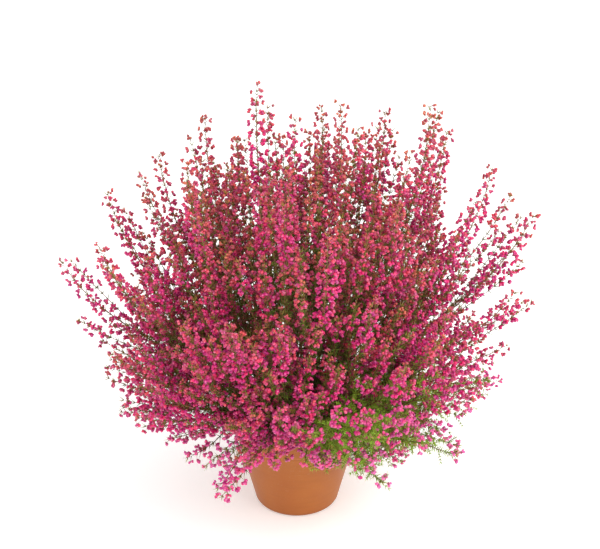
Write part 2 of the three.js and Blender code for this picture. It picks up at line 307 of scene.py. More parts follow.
@dataclass
class BushPlan:
    """The layout of the bush, as in the frame: an arc for each shoot and for its side stems.

    Sizes are in millimetres, and angles in degrees unless a comment says more. What ends in play is how
    far a draw moves a value either way. Samples are counted from a stem's foot.
    """

    seed: int = 12
    soil_top: float = 86
    stem_depth: float = 7
    crown_radius: float = 43
    crown_power: float = 0.7
    swing_play: float = 5
    steeper: float = 4  # a shoot starts at least this much steeper than it stands
    steepest: float = 70  # and leaves the soil at this angle, less the next share of its own
    steep_share: float = 0.3
    start_share: float = 0.33  # stretch of a shoot that its start rules, and that its tip rules
    end_share: float = 0.34
    least_bend: float = 56
    upturn: float = 0.48  # in radians, as is the play of a shoot's heading
    heading_play: float = 0.04
    level_turn: float = 6  # a shoot as low as this doesn't turn up
    room: float = 0.9
    meet_angle: float = 11
    needle_room: float = 3.4
    pot_height: float = 97
    rim_radius: float = 61
    front: float = 270
    front_lift: float = 12
    skirt_below: float = 40
    place_play: float = 0.14  # share of the spacing in a row
    lift_play: float = 3
    length_range: Span = (0.93, 1.05)
    swing_at: float = 0.42  # way along a side stem where it swings out, and how far out it is there
    swing_share: float = 0.85
    leave_play: float = 0.03
    end_play: float = 0.04
    side_floor: float = 98
    front_side_floor: float = 130
    side_bearings: int = 12
    parted: int = 9  # first sample of a side stem that keeps clear of its own shoot
    risen: int = 6  # first sample of a shoot that a side stem keeps clear of
    rooted: int = 2  # first sample of a shoot that keeps clear of the others
    shoot_allowance: float = 6  # room that a side stem needn't keep from its shoot, and from its sides
    side_allowance: float = 3
    box: tuple[Array, Array] | None = None
    leafy_from: float = 282
    leafy_to: float = 352
    leafy_below: float = 24
    leafy_share: float = 0.8
    shifts: tuple[float, ...] = (0, 0.12, -0.12, 0.24, -0.24, 0.36, -0.36)
    outline_tips: tuple[Triple, ...] = (
        (-206, -5, 250), (-168, 35, 298), (-165, -45, 282), (-122, 50, 328), (-92, -5, 344),
        (-80, 60, 360), (-33, 15, 402), (22, 62, 366), (37, 5, 390), (77, 55, 366),
        (112, 10, 388), (134, 70, 342), (170, 25, 326), (209, 20, 284), (188, -40, 238),
        (172, -25, 142), (192, 30, 106), (140, -92, 104), (74, -124, 98), (-69, -108, 80),
        (-112, -84, 116), (-146, -50, 146), (-176, 0, 168),
    )
    rows: tuple[Row, ...] = (
        Row(elevation=12, count=10, length=168, bearing=100),
        Row(elevation=30, count=12, length=200, bearing=75),
        Row(elevation=48, count=9, length=240, bearing=24),
        Row(elevation=65, count=6, length=268, bearing=30),
        Row(elevation=80, count=2, length=285, bearing=250),
        Row(elevation=16, count=9, length=104, bearing=270, short=True),
        Row(elevation=48, count=9, length=118, bearing=248, short=True),
    )
    side_rounds: tuple[SideRound, ...] = (
        SideRound(SIDE, leaves=0.4, ends=0.9, offsets=(36, 29, 22)),
        SideRound(SIDE, leaves=0.17, ends=0.64, offsets=(32, 26, 20)),
        SideRound(SIDE, leaves=0.3, ends=0.8, offsets=(36, 28, 21), below=42),
        SideRound(SLIM_SIDE, leaves=0.24, ends=0.52, offsets=(26, 20, 14), facing=70),
        SideRound(SLIM_SIDE, leaves=0.16, ends=0.4, offsets=(22, 16, 12), facing=45),
    )

    def lay_out(self) -> list[Shoot]:
        """All shoots with their side stems, in the order of the frame's nodes."""
        draws = Draws(self.seed)
        shoots = self.plan_shoots(draws)
        self.grow_sides(shoots, draws, self.side_rounds, self.room)
        return shoots

    def shoot_to(self, tip: Array, draws: Draws) -> Shoot:
        """Shoot that rises over the rim, leans out and turns up to its tip.

        Args:
            tip: where it ends.
            draws: the row of draws, which gives its swing and the heading of its tip.

        Returns:
            The shoot, with no side stems yet.
        """
        bearing = math.atan2(tip[1], tip[0])
        out = np.array([math.cos(bearing), math.sin(bearing), 0.0])
        across = np.array([-math.sin(bearing), math.cos(bearing), 0.0])
        level = math.hypot(tip[0], tip[1])
        rise = tip[2] - self.soil_top
        elevation = math.atan2(rise, level)
        length = math.hypot(level, rise)
        lean = min(1.0, 1 - elevation / (math.pi / 2))
        foot = out * (self.crown_radius * lean**self.crown_power)
        foot[2] = self.soil_top - self.stem_depth
        swing = draws.about(self.swing_play)
        from_soil = math.radians(self.steepest) - self.steep_share * elevation
        steep = max(elevation + math.radians(self.steeper), from_soil)
        start = max(length * self.start_share, self.least_bend)
        first = foot + out * (math.cos(steep) * start) + across * swing
        first[2] += math.sin(steep) * start
        turned_up = self.upturn * math.sin(2 * (elevation - math.radians(self.level_turn)))
        heading = elevation + turned_up + draws.about(self.heading_play)
        last = tip - out * (math.cos(heading) * length * self.end_share) - across * swing
        last[2] -= math.sin(heading) * length * self.end_share
        toward = math.degrees(bearing) % 360
        low = elevation < math.radians(self.leafy_below)
        ranged = low and self.leafy_from < toward < self.leafy_to
        leafy = ranged and draws.between(0, 1) < self.leafy_share
        habit = LEAFY_LEADER if leafy else LEADER
        return Shoot(Arc(foot, first, last, tip), across, tip, toward, elevation, leafy, habit)

    def direction_of(self, tip: Array) -> Array:
        """Unit vector from the crown towards a tip."""
        return unit(tip - np.array([0, 0, self.soil_top]))

    def row_shoot(self, bearing: float, lift: float, length: float, draws: Draws) -> Shoot:
        """Shoot at a bearing and height above level in radians, of a length to its tip."""
        level = length * math.cos(lift)
        height = self.soil_top + length * math.sin(lift)
        tip = np.array([level * math.cos(bearing), level * math.sin(bearing), height])
        return self.shoot_to(tip, draws)

    def raised(self, elevation: float, turn: float) -> float:
        """How much higher the skirt stands in degrees, at a turn from the front in radians."""
        facing = max(0.0, math.cos(turn))
        skirt = max(0.0, 1 - elevation / self.skirt_below)
        return self.front_lift * facing * facing * skirt

    def plan_shoots(self, draws: Draws) -> list[Shoot]:
        """Outline shoots, then those of the rows, each moved aside to where it has most room."""
        shoots = [self.shoot_to(np.array(tip, float), draws) for tip in self.outline_tips]
        outline = np.array([self.direction_of(shoot.tip) for shoot in shoots])
        taken = [shoot.habit.room_of(shoot.arc, self.needle_room) for shoot in shoots]
        for row in self.rows:
            for i in range(row.count):
                spread = 360 / row.count
                place = i + draws.about(self.place_play)
                raised = self.raised(row.elevation, math.radians(row.bearing + spread * i - self.front))
                lift = math.radians(row.elevation + draws.about(self.lift_play) + raised)
                length = row.length * draws.between(*self.length_range)
                best_room, best, best_samples = self.room, None, None
                for shift in self.shifts:
                    bearing = math.radians(row.bearing + spread * (place + shift))
                    shoot = self.row_shoot(bearing, lift, length, draws)
                    if row.short:
                        shoot.habit = SHORT
                    samples = shoot.habit.room_of(shoot.arc, self.needle_room)
                    cosines = outline @ self.direction_of(shoot.tip)
                    nearest = math.acos(min(1.0, float(cosines.max())))
                    if not row.short and nearest < math.radians(self.meet_angle):
                        continue
                    room = room_between(samples[self.rooted :], np.concatenate(taken))
                    if room > best_room:
                        best_room, best, best_samples = room, shoot, samples
                if best is None:
                    continue
                shoots.append(best)
                taken.append(best_samples)
        return shoots

    def side_arc(self, shoot: Shoot, leaves: float, ends: float, turn: float, offset: float) -> Arc:
        """Side stem that leaves its shoot, swings out and then runs beside it.

        Args:
            shoot: the shoot that carries it.
            leaves: share of the shoot where it leaves.
            ends: share of the shoot beside which it ends.
            turn: direction round the shoot in radians.
            offset: distance from the shoot at its end.

        Returns:
            The side stem's arc.
        """

        def push(share: float, distance: float) -> Array:
            up = np.cross(shoot.arc.tangent(share), shoot.across)
            aside = shoot.across * (math.cos(turn) * distance) + up * (math.sin(turn) * distance)
            return shoot.arc.point(share) + aside

        middle = push(mix(leaves, ends, self.swing_at), offset * self.swing_share)
        return Arc(shoot.arc.point(leaves), middle, push(ends, offset))

    def room_to_pot(self, samples: Array) -> float:
        """Least room between samples and the pot."""
        beside = np.hypot(samples[:, 0], samples[:, 1]) - self.rim_radius
        over = samples[:, 2] - self.pot_height
        return float((np.maximum(over, beside) - samples[:, 3]).min())

    def room_over_floor(self, tip: Array) -> float:
        """Room under the tip of a side stem, which is kept higher in front of the pot."""
        hides = tip[1] < 0 and abs(tip[0]) < self.rim_radius
        return float(tip[2] - (self.front_side_floor if hides else self.side_floor))

    def keeps_in(self, tip: Array) -> bool:
        """Whether the tip of a side stem stays in the box, where one is set."""
        if self.box is None:
            return True
        low, high = self.box
        return bool((tip[:3] >= low).all() and (tip[:3] <= high).all())

    def grow_sides(
        self, shoots: list[Shoot], draws: Draws, rounds: tuple[SideRound, ...], least: float
    ) -> None:
        """Adds side stems where there is most room, one for each shoot in turn.

        Args:
            shoots: all shoots, which get the side stems.
            draws: the row of draws.
            rounds: the rounds of side stems.
            least: a side stem with less room than this is left out.
        """
        taken = [shoot.rooms(self.needle_room) for shoot in shoots]
        turns = [2 * math.pi * k / self.side_bearings for k in range(self.side_bearings)]
        for side_round in rounds:
            for index, shoot in enumerate(shoots):
                aside = degrees_apart(shoot.toward, self.front)
                if shoot.elevation > math.radians(side_round.below) or aside > side_round.facing:
                    continue
                leaves = side_round.leaves + draws.about(self.leave_play)
                ends = side_round.ends + draws.about(self.end_play)
                own = taken[index]
                rooms = [room for i, some in enumerate(taken) if i != index for room in some]
                others = np.concatenate(rooms)
                best_room, best, best_samples = least, None, None
                for offset in side_round.offsets:
                    for turn in turns:
                        arc = self.side_arc(shoot, leaves, ends, turn, offset)
                        samples = side_round.habit.room_of(arc, self.needle_room)
                        if not self.keeps_in(samples[-1]):
                            continue
                        room = min(self.room_to_pot(samples[1:]), self.room_over_floor(samples[-1]))
                        if room <= best_room:
                            continue
                        beside = room_between(samples[self.parted :], own[0][self.risen :])
                        room = min(room, beside + self.shoot_allowance)
                        for spire in own[1:]:
                            beside = room_between(samples[self.risen :], spire[self.risen :])
                            room = min(room, beside + self.side_allowance)
                        if room <= best_room:
                            continue
                        room = min(room, room_between(samples[1:], others))
                        if room > best_room:
                            best_room, best, best_samples = room, arc, samples
                if best is None:
                    continue
                shoot.sides.append(Stem(best, side_round.habit))
                own.append(best_samples)


@dataclass(frozen=True)
class Garland:
    """Short shoots in a row round the crown: bearings and heights in degrees, lengths in millimetres."""

    habit: Habit
    leafy: bool
    count: int
    bearings: Span
    heights: Span
    lengths: Span


@dataclass
class Infill:
    """What is too fine for the frame: inner shoots, and more side stems on all shoots.

    They close the bush between the frame's own stems. Lengths are in millimetres, heights in degrees
    and shifts in radians. The core is the garland that stands up in the middle of the bush.
    """

    plan: BushPlan
    corners: list[list[float]]
    margin: float = 1.5
    seed: int = 5
    count: int = 136
    lowest: float = 16
    highest: float = 87
    least_reach: Span = (0.6, 0.84)
    most_reach: float = 1.0
    least_room: float = -6.0
    sprig_room: float = -7.0
    heights: tuple[float, ...] = (12, 30, 48, 65, 80)
    lengths: tuple[float, ...] = (168, 200, 240, 268, 285)
    shifts: tuple[float, ...] = (0, 0.07, -0.07, 0.14, -0.14)
    parted: int = 3  # first sample of a stem that counts as taken
    risen: int = 6  # first sample of an inner shoot that keeps clear
    first_lift: float = 0.2  # share of its height at which a garland starts, and how fast it grows
    lift_growth: float = 2
    length_range: Span = (0.88, 1.06)
    sprig_rounds: tuple[SideRound, ...] = (
        SideRound(SPRIG, leaves=0.55, ends=0.94, offsets=(22, 14)),
        SideRound(SPRIG, leaves=0.45, ends=0.84, offsets=(26, 16)),
        SideRound(SPRIG, leaves=0.33, ends=0.73, offsets=(25, 15)),
    )
    garlands: tuple[Garland, ...] = (
        Garland(CUSHION, True, count=13, bearings=(284, 345), heights=(4, 20), lengths=(84, 145)),
        Garland(RIM_SPRAY, False, count=11, bearings=(196, 292), heights=(4, 16), lengths=(74, 90)),
    )
    core: Garland = Garland(CORE, False, count=18, bearings=(200, 540), heights=(46, 74), lengths=(98, 98))

    def plant(self, shoots: list[Shoot]) -> list[Shoot]:
        """Adds sprigs to the frame's shoots and plants the inner ones.

        Args:
            shoots: the frame's shoots, which get more side stems.

        Returns:
            The inner shoots.
        """
        low, high = np.array(self.corners) / MM
        self.plan.box = (low - self.margin, high + self.margin)
        draws = Draws(self.seed)
        inner = self.inner_shoots(shoots, draws)
        for garland in self.garlands:
            inner += self.hang(garland, draws)
        self.plan.grow_sides(shoots + inner, draws, self.sprig_rounds, self.sprig_room)
        return inner + self.hang(self.core, draws)

    def hang(self, garland: Garland, draws: Draws) -> list[Shoot]:
        """Short shoots of one garland, the first of which stand lower than the rest.

        Args:
            garland: how many there are, where and how long.
            draws: the row of draws.

        Returns:
            The shoots.
        """
        hung = []
        for i in range(garland.count):
            share = i / (garland.count - 1)
            bearing = math.radians(mix(*garland.bearings, share))
            raised = min(1.0, self.first_lift + self.lift_growth * share)
            lift = math.radians(draws.between(*garland.heights) * raised)
            length = mix(*garland.lengths, share) * draws.between(*self.length_range)
            shoot = self.plan.row_shoot(bearing, lift, length, draws)
            shoot.habit = garland.habit
            shoot.leafy = garland.leafy
            hung.append(shoot)
        return hung

    def inner_shoots(self, shoots: list[Shoot], draws: Draws) -> list[Shoot]:
        """Shorter shoots that stand in the gaps between the frame's."""
        plan = self.plan
        taken = [room[self.parted :] for shoot in shoots for room in shoot.rooms(plan.needle_room)]
        low, high = math.sin(math.radians(self.lowest)), math.sin(math.radians(self.highest))
        inner = []
        for i in range(self.count):
            elevation = math.degrees(math.asin(mix(low, high, (i + 0.5) / self.count)))
            bearing = i * GOLDEN_TURN
            lift = math.radians(elevation + plan.raised(elevation, bearing - math.radians(plan.front)))
            whole = float(np.interp(elevation, self.heights, self.lengths))
            least_reach = mix(*self.least_reach, elevation / self.highest)
            length = whole * draws.between(least_reach, self.most_reach)
            best_room, best, best_samples = self.least_room, None, None
            for shift in self.shifts:
                shoot = plan.row_shoot(bearing + shift, lift, length, draws)
                shoot.habit = INNER
                samples = INNER.room_of(shoot.arc, plan.needle_room)
                room = room_between(samples[self.risen :], np.concatenate(taken))
                if room > best_room:
                    best_room, best, best_samples = room, shoot, samples
            if best is not None:
                inner.append(best)
                taken.append(best_samples[self.parted :])
        return inner


def room_between(some: Array, others: Array) -> float:
    """Least room between two sets of samples of x, y, z and radius."""
    here, there = some[:, :3], others[:, :3]
    squares = (here * here).sum(axis=1)[:, None] + (there * there).sum(axis=1) - 2 * here @ there.T
    apart = np.sqrt(np.maximum(squares, 0))
    return float((apart - some[:, 3:] - others[:, 3]).min())


class Socket(Enum):
    """Kinds of socket that a shader group can have."""

    COLOUR = "NodeSocketColor"
    NUMBER = "NodeSocketFloat"
    VECTOR = "NodeSocketVector"


class Graph:
    """The nodes of one material or group, with short calls that add and join them."""

    mixed_inputs: tuple[int, int, int] = (0, 6, 7)  # a mix node's share and two colours
    mixed_output: int = 2

    def __init__(self, tree: NodeTree) -> None:
        """Works on a node tree."""
        self.tree = tree

    def add(self, kind: str, **settings: object) -> Node:
        """New node of a Blender kind, with its properties set."""
        node = self.tree.nodes.new(kind)
        for name, value in settings.items():
            setattr(node, name, value)
        return node

    def join(self, source: object, target: NodeSocket) -> None:
        """Links an output to an input, or sets the input where the source is a plain value."""
        if isinstance(source, NodeSocket):
            self.tree.links.new(source, target)
        else:
            target.default_value = source

    def blend(self, share: object, low: object, high: object) -> NodeSocket:
        """Mixes two colours.

        Args:
            share: socket or number that says how much of the second colour is taken.
            low: first colour.
            high: second colour.

        Returns:
            The mixed colour's socket.
        """
        node = self.add("ShaderNodeMix", data_type="RGBA", blend_type="MIX", clamp_factor=True)
        for given, place in zip((share, low, high), self.mixed_inputs):
            self.join(given, node.inputs[place])
        return node.outputs[self.mixed_output]

    def sum_of(self, how: str, *values: object) -> NodeSocket:
        """Math node on up to three sockets or numbers."""
        node = self.add("ShaderNodeMath", operation=how)
        for value, socket in zip(values, node.inputs):
            self.join(value, socket)
        return node.outputs[0]

    def ramp(self, value: object, span: Span, shares: Span = (0.0, 1.0)) -> NodeSocket:
        """Number mapped so that it goes through two shares over a span, and stays at them beyond."""
        node = self.add("ShaderNodeMapRange", clamp=True)
        for given, socket in zip((value, *span, *shares), node.inputs):
            self.join(given, socket)
        return node.outputs[0]

    def noise(self, where: object, scale: object, detail: float, rough: float = 0.55) -> NodeSocket:
        """Noise value on coordinates, from 0 to 1."""
        node = self.add("ShaderNodeTexNoise")
        self.join(where, node.inputs["Vector"])
        self.join(scale, node.inputs["Scale"])
        node.inputs["Detail"].default_value = detail
        node.inputs["Roughness"].default_value = rough
        return node.outputs[0]

    def bump(self, height: object, depth: float) -> NodeSocket:
        """Normal bumped by a height, with the depth in metres."""
        node = self.add("ShaderNodeBump")
        node.inputs["Strength"].default_value = 1.0
        node.inputs["Distance"].default_value = depth
        self.join(height, node.inputs["Height"])
        return node.outputs[0]

    def object_place(self) -> NodeSocket:
        """Coordinates fixed to the piece."""
        return self.add("ShaderNodeTexCoord").outputs["Object"]


def shader_group(
    name: str,
    inputs: dict[str, Socket],
    outputs: dict[str, Socket],
    fill: Callable[[Graph, Node, Node], None],
) -> NodeTree:
    """Shader group with named inputs and outputs.

    Args:
        name: the group's name.
        inputs: name and kind of each input.
        outputs: name and kind of each output.
        fill: adds the group's nodes, given the graph and its input and output nodes.

    Returns:
        The new group.
    """
    tree = bpy.data.node_groups.new(name, "ShaderNodeTree")
    for side, sockets in (("INPUT", inputs), ("OUTPUT", outputs)):
        for label, kind in sockets.items():
            tree.interface.new_socket(label, in_out=side, socket_type=kind.value)
    graph = Graph(tree)
    fill(graph, graph.add("NodeGroupInput"), graph.add("NodeGroupOutput"))
    return tree


@dataclass
class SharedEffects:
    """Shader groups that more than one finish uses."""

    grain_detail: float = 4.0
    grain_roughness: float = 0.6
    patch_detail: float = 2.0
    drift: NodeTree = field(init=False)
    grain: NodeTree = field(init=False)

    def __post_init__(self) -> None:
        """Builds both groups."""
        colour, number, vector = Socket.COLOUR, Socket.NUMBER, Socket.VECTOR
        given = {"Colour": colour, "Tone": number, "Lightness": number, "Hue": number}
        self.drift = shader_group("Tone drift", given, {"Colour": colour}, self.fill_drift)
        given = {"Place": vector, "Scale": number, "Patches": number}
        result = {"Height": number, "Patch": number}
        self.grain = shader_group("Fine grain", given, result, self.fill_grain)

    @staticmethod
    def fill_drift(graph: Graph, given: Node, result: Node) -> None:
        """Shifts a colour's hue and lightness by a tone from 0 to 1, so that no two copies match."""
        swing = graph.sum_of("SUBTRACT", given.outputs["Tone"], 0.5)
        shift = graph.add("ShaderNodeHueSaturation")
        graph.join(graph.sum_of("MULTIPLY_ADD", swing, given.outputs["Hue"], 0.5), shift.inputs["Hue"])
        light = graph.sum_of("MULTIPLY_ADD", swing, given.outputs["Lightness"], 1.0)
        graph.join(light, shift.inputs["Value"])
        graph.join(given.outputs["Colour"], shift.inputs["Color"])
        graph.join(shift.outputs[0], result.inputs["Colour"])

    def fill_grain(self, graph: Graph, given: Node, result: Node) -> None:
        """Fine grain for bumps, and broad soft patches."""
        place, scale = given.outputs["Place"], given.outputs["Scale"]
        grain = graph.noise(place, scale, self.grain_detail, self.grain_roughness)
        graph.join(grain, result.inputs["Height"])
        patches = graph.noise(place, given.outputs["Patches"], self.patch_detail)
        graph.join(patches, result.inputs["Patch"])


def principled(name: str, roughness: float, specular: float) -> tuple[Material, Node]:
    """New material with a Principled shader.

    Args:
        name: the material's name.
        roughness: the shader's roughness.
        specular: the shader's specular level.

    Returns:
        The material and its shader node.
    """
    material = bpy.data.materials.new(name)
    material.use_nodes = True
    shader = next(n for n in material.node_tree.nodes if n.type == "BSDF_PRINCIPLED")
    shader.inputs["Roughness"].default_value = roughness
    shader.inputs["Specular IOR Level"].default_value = specular
    return material, shader


@dataclass(frozen=True)
class Finish:
    """What every finish has: a name, the shared effects that it may use, and how it shines."""

    name: str
    effects: SharedEffects
    roughness: float = 0.5
    specular: float = 0.4
    lightness_drift: float = 0.5
    hue_drift: float = 0.02
    grain_scale: float = 1000.0
    patch_scale: float = 100.0

    def start(self) -> tuple[Material, Graph, Node]:
        """New material of this finish, with its graph and its Principled shader."""
        material, shader = principled(self.name, self.roughness, self.specular)
        return material, Graph(material.node_tree), shader

    def effect(self, graph: Graph, tree: NodeTree, **inputs: object) -> Node:
        """Places a shader group and joins its inputs by name."""
        node = graph.add("ShaderNodeGroup", node_tree=tree)
        for name, value in inputs.items():
            graph.join(value, node.inputs[name])
        return node

    def drifted(self, graph: Graph, colour: NodeSocket, tone: NodeSocket) -> NodeSocket:
        """Colour that differs a little from copy to copy, by their tone."""
        light, hue = self.lightness_drift, self.hue_drift
        drift = self.effects.drift
        return self.effect(graph, drift, Colour=colour, Tone=tone, Lightness=light, Hue=hue).outputs[0]

    def grained(self, graph: Graph, place: NodeSocket) -> tuple[NodeSocket, ...]:
        """Height of the finish's grain at a place, and the tone of its broad patches."""
        fine, broad = self.grain_scale, self.patch_scale
        node = self.effect(graph, self.effects.grain, Place=place, Scale=fine, Patches=broad)
        return node.outputs["Height"], node.outputs["Patch"]

    def growth(self, graph: Graph) -> tuple[NodeSocket, ...]:
        """Tone, place along the shape, ripeness and kind, from the piece's growth attribute."""
        node = graph.add("ShaderNodeAttribute", attribute_name=GROWTH)
        split = graph.add("ShaderNodeSeparateColor")
        graph.join(node.outputs["Color"], split.inputs[0])
        return (*split.outputs[:3], node.outputs["Alpha"])


@dataclass(frozen=True)
class PetalFinish(Finish):
    """Waxy bells: coral in bud, magenta in flower, orchid pink where they grow pale, green at the foot."""

    bud: Colour = (0.47, 0.080, 0.062, 1)
    flower: Colour = (0.60, 0.010, 0.168, 1)
    orchid: Colour = (0.82, 0.150, 0.440, 1)
    foot: Colour = (0.34, 0.16, 0.06, 1)
    mouth: Colour = (0.92, 0.30, 0.48, 1)
    roughness: float = 0.42
    specular: float = 0.45
    lightness_drift: float = 0.55
    hue_drift: float = 0.035
    foot_span: Span = (0.3, 0.08)
    mouth_ramp: Ramp = ((0.82, 1.0), (0, 0.36))
    light_share: float = 0.2  # of the light that passes under the skin, and how far it gets there
    light_radius: Triple = (1.0, 0.35, 0.45)
    light_depth: float = 0.0012

    def make(self) -> Material:
        """The material, which reads tone, place along the bell, ripeness and paleness."""
        material, graph, shader = self.start()
        tone, along, ripe, pale = self.growth(graph)
        colour = graph.blend(ripe, self.bud, self.flower)
        colour = self.drifted(graph, graph.blend(pale, colour, self.orchid), tone)
        colour = graph.blend(graph.ramp(along, self.foot_span), colour, self.foot)
        at_mouth = graph.ramp(along, *self.mouth_ramp)
        graph.join(graph.blend(at_mouth, colour, self.mouth), shader.inputs["Base Color"])
        shader.inputs["Subsurface Weight"].default_value = self.light_share
        shader.inputs["Subsurface Radius"].default_value = self.light_radius
        shader.inputs["Subsurface Scale"].default_value = self.light_depth
        return material


@dataclass(frozen=True)
class NeedleFinish(Finish):
    """Fine needles: dark olive when old, fresh green when young, flushed with red among the flowers."""

    old: Colour = (0.075, 0.105, 0.014, 1)
    young: Colour = (0.300, 0.470, 0.035, 1)
    flushed: Colour = (0.420, 0.185, 0.055, 1)
    lightness_drift: float = 0.7
    hue_drift: float = 0.04
    point_ramp: Ramp = ((0.7, 1.0), (0, 0.5))

    def make(self) -> Material:
        """The material, which reads tone, place along the needle, youth and flush."""
        material, graph, shader = self.start()
        tone, along, young, flush = self.growth(graph)
        colour = graph.blend(young, self.old, self.young)
        colour = self.drifted(graph, graph.blend(flush, colour, self.flushed), tone)
        at_point = graph.ramp(along, *self.point_ramp)
        graph.join(graph.blend(at_point, colour, self.flushed), shader.inputs["Base Color"])
        return material


@dataclass(frozen=True)
class BarkFinish(Finish):
    """Stems: grey-brown bark at the foot, reddish brown above, green at the youngest ends."""

    old: Colour = (0.085, 0.050, 0.028, 1)
    middle: Colour = (0.260, 0.095, 0.045, 1)
    young: Colour = (0.300, 0.200, 0.070, 1)
    roughness: float = 0.7
    specular: float = 0.3
    lightness_drift: float = 0.4
    grain_scale: float = 2600.0
    patch_scale: float = 320.0
    middle_span: Span = (0.1, 0.5)
    young_span: Span = (0.6, 1.0)
    streak_ramp: Ramp = ((0.35, 0.65), (0, 0.5))
    grain_depth: float = 0.0002

    def make(self) -> Material:
        """The material, which reads tone and place along the stem."""
        material, graph, shader = self.start()
        tone, along, _, _ = self.growth(graph)
        colour = graph.blend(graph.ramp(along, self.middle_span), self.old, self.middle)
        colour = graph.blend(graph.ramp(along, self.young_span), colour, self.young)
        height, patch = self.grained(graph, graph.object_place())
        colour = graph.blend(graph.ramp(patch, *self.streak_ramp), colour, self.old)
        colour = self.drifted(graph, colour, tone)
        graph.join(colour, shader.inputs["Base Color"])
        graph.join(graph.bump(height, self.grain_depth), shader.inputs["Normal"])
        return material


@dataclass(frozen=True)
class PotFinish(Finish):
    """Moulded plastic in terracotta colour, satin, faintly mottled, with fine marks of the mould.

    Heights and depths are in metres.
    """

    body: Colour = (0.350, 0.096, 0.016, 1)
    warm: Colour = (0.405, 0.124, 0.022, 1)
    dark: Colour = (0.270, 0.080, 0.014, 1)
    dust: Colour = (0.400, 0.240, 0.130, 1)
    roughness: float = 0.45
    specular: float = 0.28
    grain_scale: float = 1500.0
    patch_scale: float = 26.0
    mottle_span: Span = (0.3, 0.7)
    satin: Span = (0.4, 0.52)
    streak_stretch: Triple = (0.25, 0.25, 3.0)
    streak_scale: float = 90.0
    streak_detail: float = 3.0
    streak_ramp: Ramp = ((0.5, 0.75), (0, 0.25))
    # painted shade: the colour darkens over the lowest 6 mm, towards the floor
    foot_shade_ramp: Ramp = ((0.006, 0.0), (0, 0.6))
    speck_scale: float = 420.0
    speck_detail: float = 2.0
    speck_span: Span = (0.6, 0.72)
    dust_ramp: Ramp = ((0.02, 0.1), (0.05, 0.35))
    ring_scale: float = 170.0
    ring_distortion: float = 0.4
    ring_share: float = 0.35
    relief_depth: float = 0.00006

    def make(self) -> Material:
        """The material, in coordinates of the piece."""
        material, graph, shader = self.start()
        place = graph.object_place()
        grain, patch = self.grained(graph, place)
        mottled = graph.blend(graph.ramp(patch, self.mottle_span), self.body, self.warm)
        colour = self.coloured(graph, place, mottled)
        graph.join(colour, shader.inputs["Base Color"])
        graph.join(graph.ramp(patch, self.mottle_span, self.satin), shader.inputs["Roughness"])
        relief = graph.sum_of("MULTIPLY_ADD", self.mould_rings(graph, place), self.ring_share, grain)
        graph.join(graph.bump(relief, self.relief_depth), shader.inputs["Normal"])
        return material

    def coloured(self, graph: Graph, place: NodeSocket, colour: NodeSocket) -> NodeSocket:
        """Colour with dark bands, painted shade that darkens the foot, and specks of dust.

        Args:
            graph: the material's graph.
            place: coordinates of the piece.
            colour: the bare pot's colour.

        Returns:
            The finished colour's socket.
        """
        split = graph.add("ShaderNodeSeparateXYZ")
        graph.join(place, split.inputs[0])
        height = split.outputs["Z"]
        bands = graph.noise(self.stretched(graph, place), self.streak_scale, self.streak_detail)
        colour = graph.blend(graph.ramp(bands, *self.streak_ramp), colour, self.dark)
        # painted shade: darker towards the foot, where the pot meets the floor
        colour = graph.blend(graph.ramp(height, *self.foot_shade_ramp), colour, self.dark)
        specks = graph.ramp(graph.noise(place, self.speck_scale, self.speck_detail), self.speck_span)
        dusty = graph.sum_of("MULTIPLY", specks, graph.ramp(height, *self.dust_ramp))
        return graph.blend(dusty, colour, self.dust)

    def stretched(self, graph: Graph, place: NodeSocket) -> NodeSocket:
        """Coordinates squeezed in height, so that a pattern runs in long bands round the pot."""
        mapping = graph.add("ShaderNodeMapping")
        graph.join(place, mapping.inputs["Vector"])
        mapping.inputs["Scale"].default_value = self.streak_stretch
        return mapping.outputs[0]

    def mould_rings(self, graph: Graph, place: NodeSocket) -> NodeSocket:
        """Height of fine rings round the pot, which the mould leaves."""
        rings = graph.add("ShaderNodeTexWave", wave_type="BANDS", bands_direction="Z", wave_profile="SIN")
        graph.join(place, rings.inputs["Vector"])
        rings.inputs["Scale"].default_value = self.ring_scale
        rings.inputs["Distortion"].default_value = self.ring_distortion
        return rings.outputs["Fac"]


@dataclass(frozen=True)
class PeatFinish(Finish):
    """Dark moist peat, matt, with paler fibres."""

    wet: Colour = (0.018, 0.011, 0.007, 1)
    dry: Colour = (0.075, 0.045, 0.026, 1)
    roughness: float = 0.95
    specular: float = 0.2
    grain_scale: float = 700.0
    patch_scale: float = 140.0
    dry_span: Span = (0.15, 0.42)
    grain_depth: float = 0.0006

    def make(self) -> Material:
        """The material, in coordinates of the piece."""
        material, graph, shader = self.start()
        height, patch = self.grained(graph, graph.object_place())
        fibres = graph.ramp(graph.sum_of("MULTIPLY", height, patch), self.dry_span)
        graph.join(graph.blend(fibres, self.wet, self.dry), shader.inputs["Base Color"])
        graph.join(graph.bump(height, self.grain_depth), shader.inputs["Normal"])
        return material


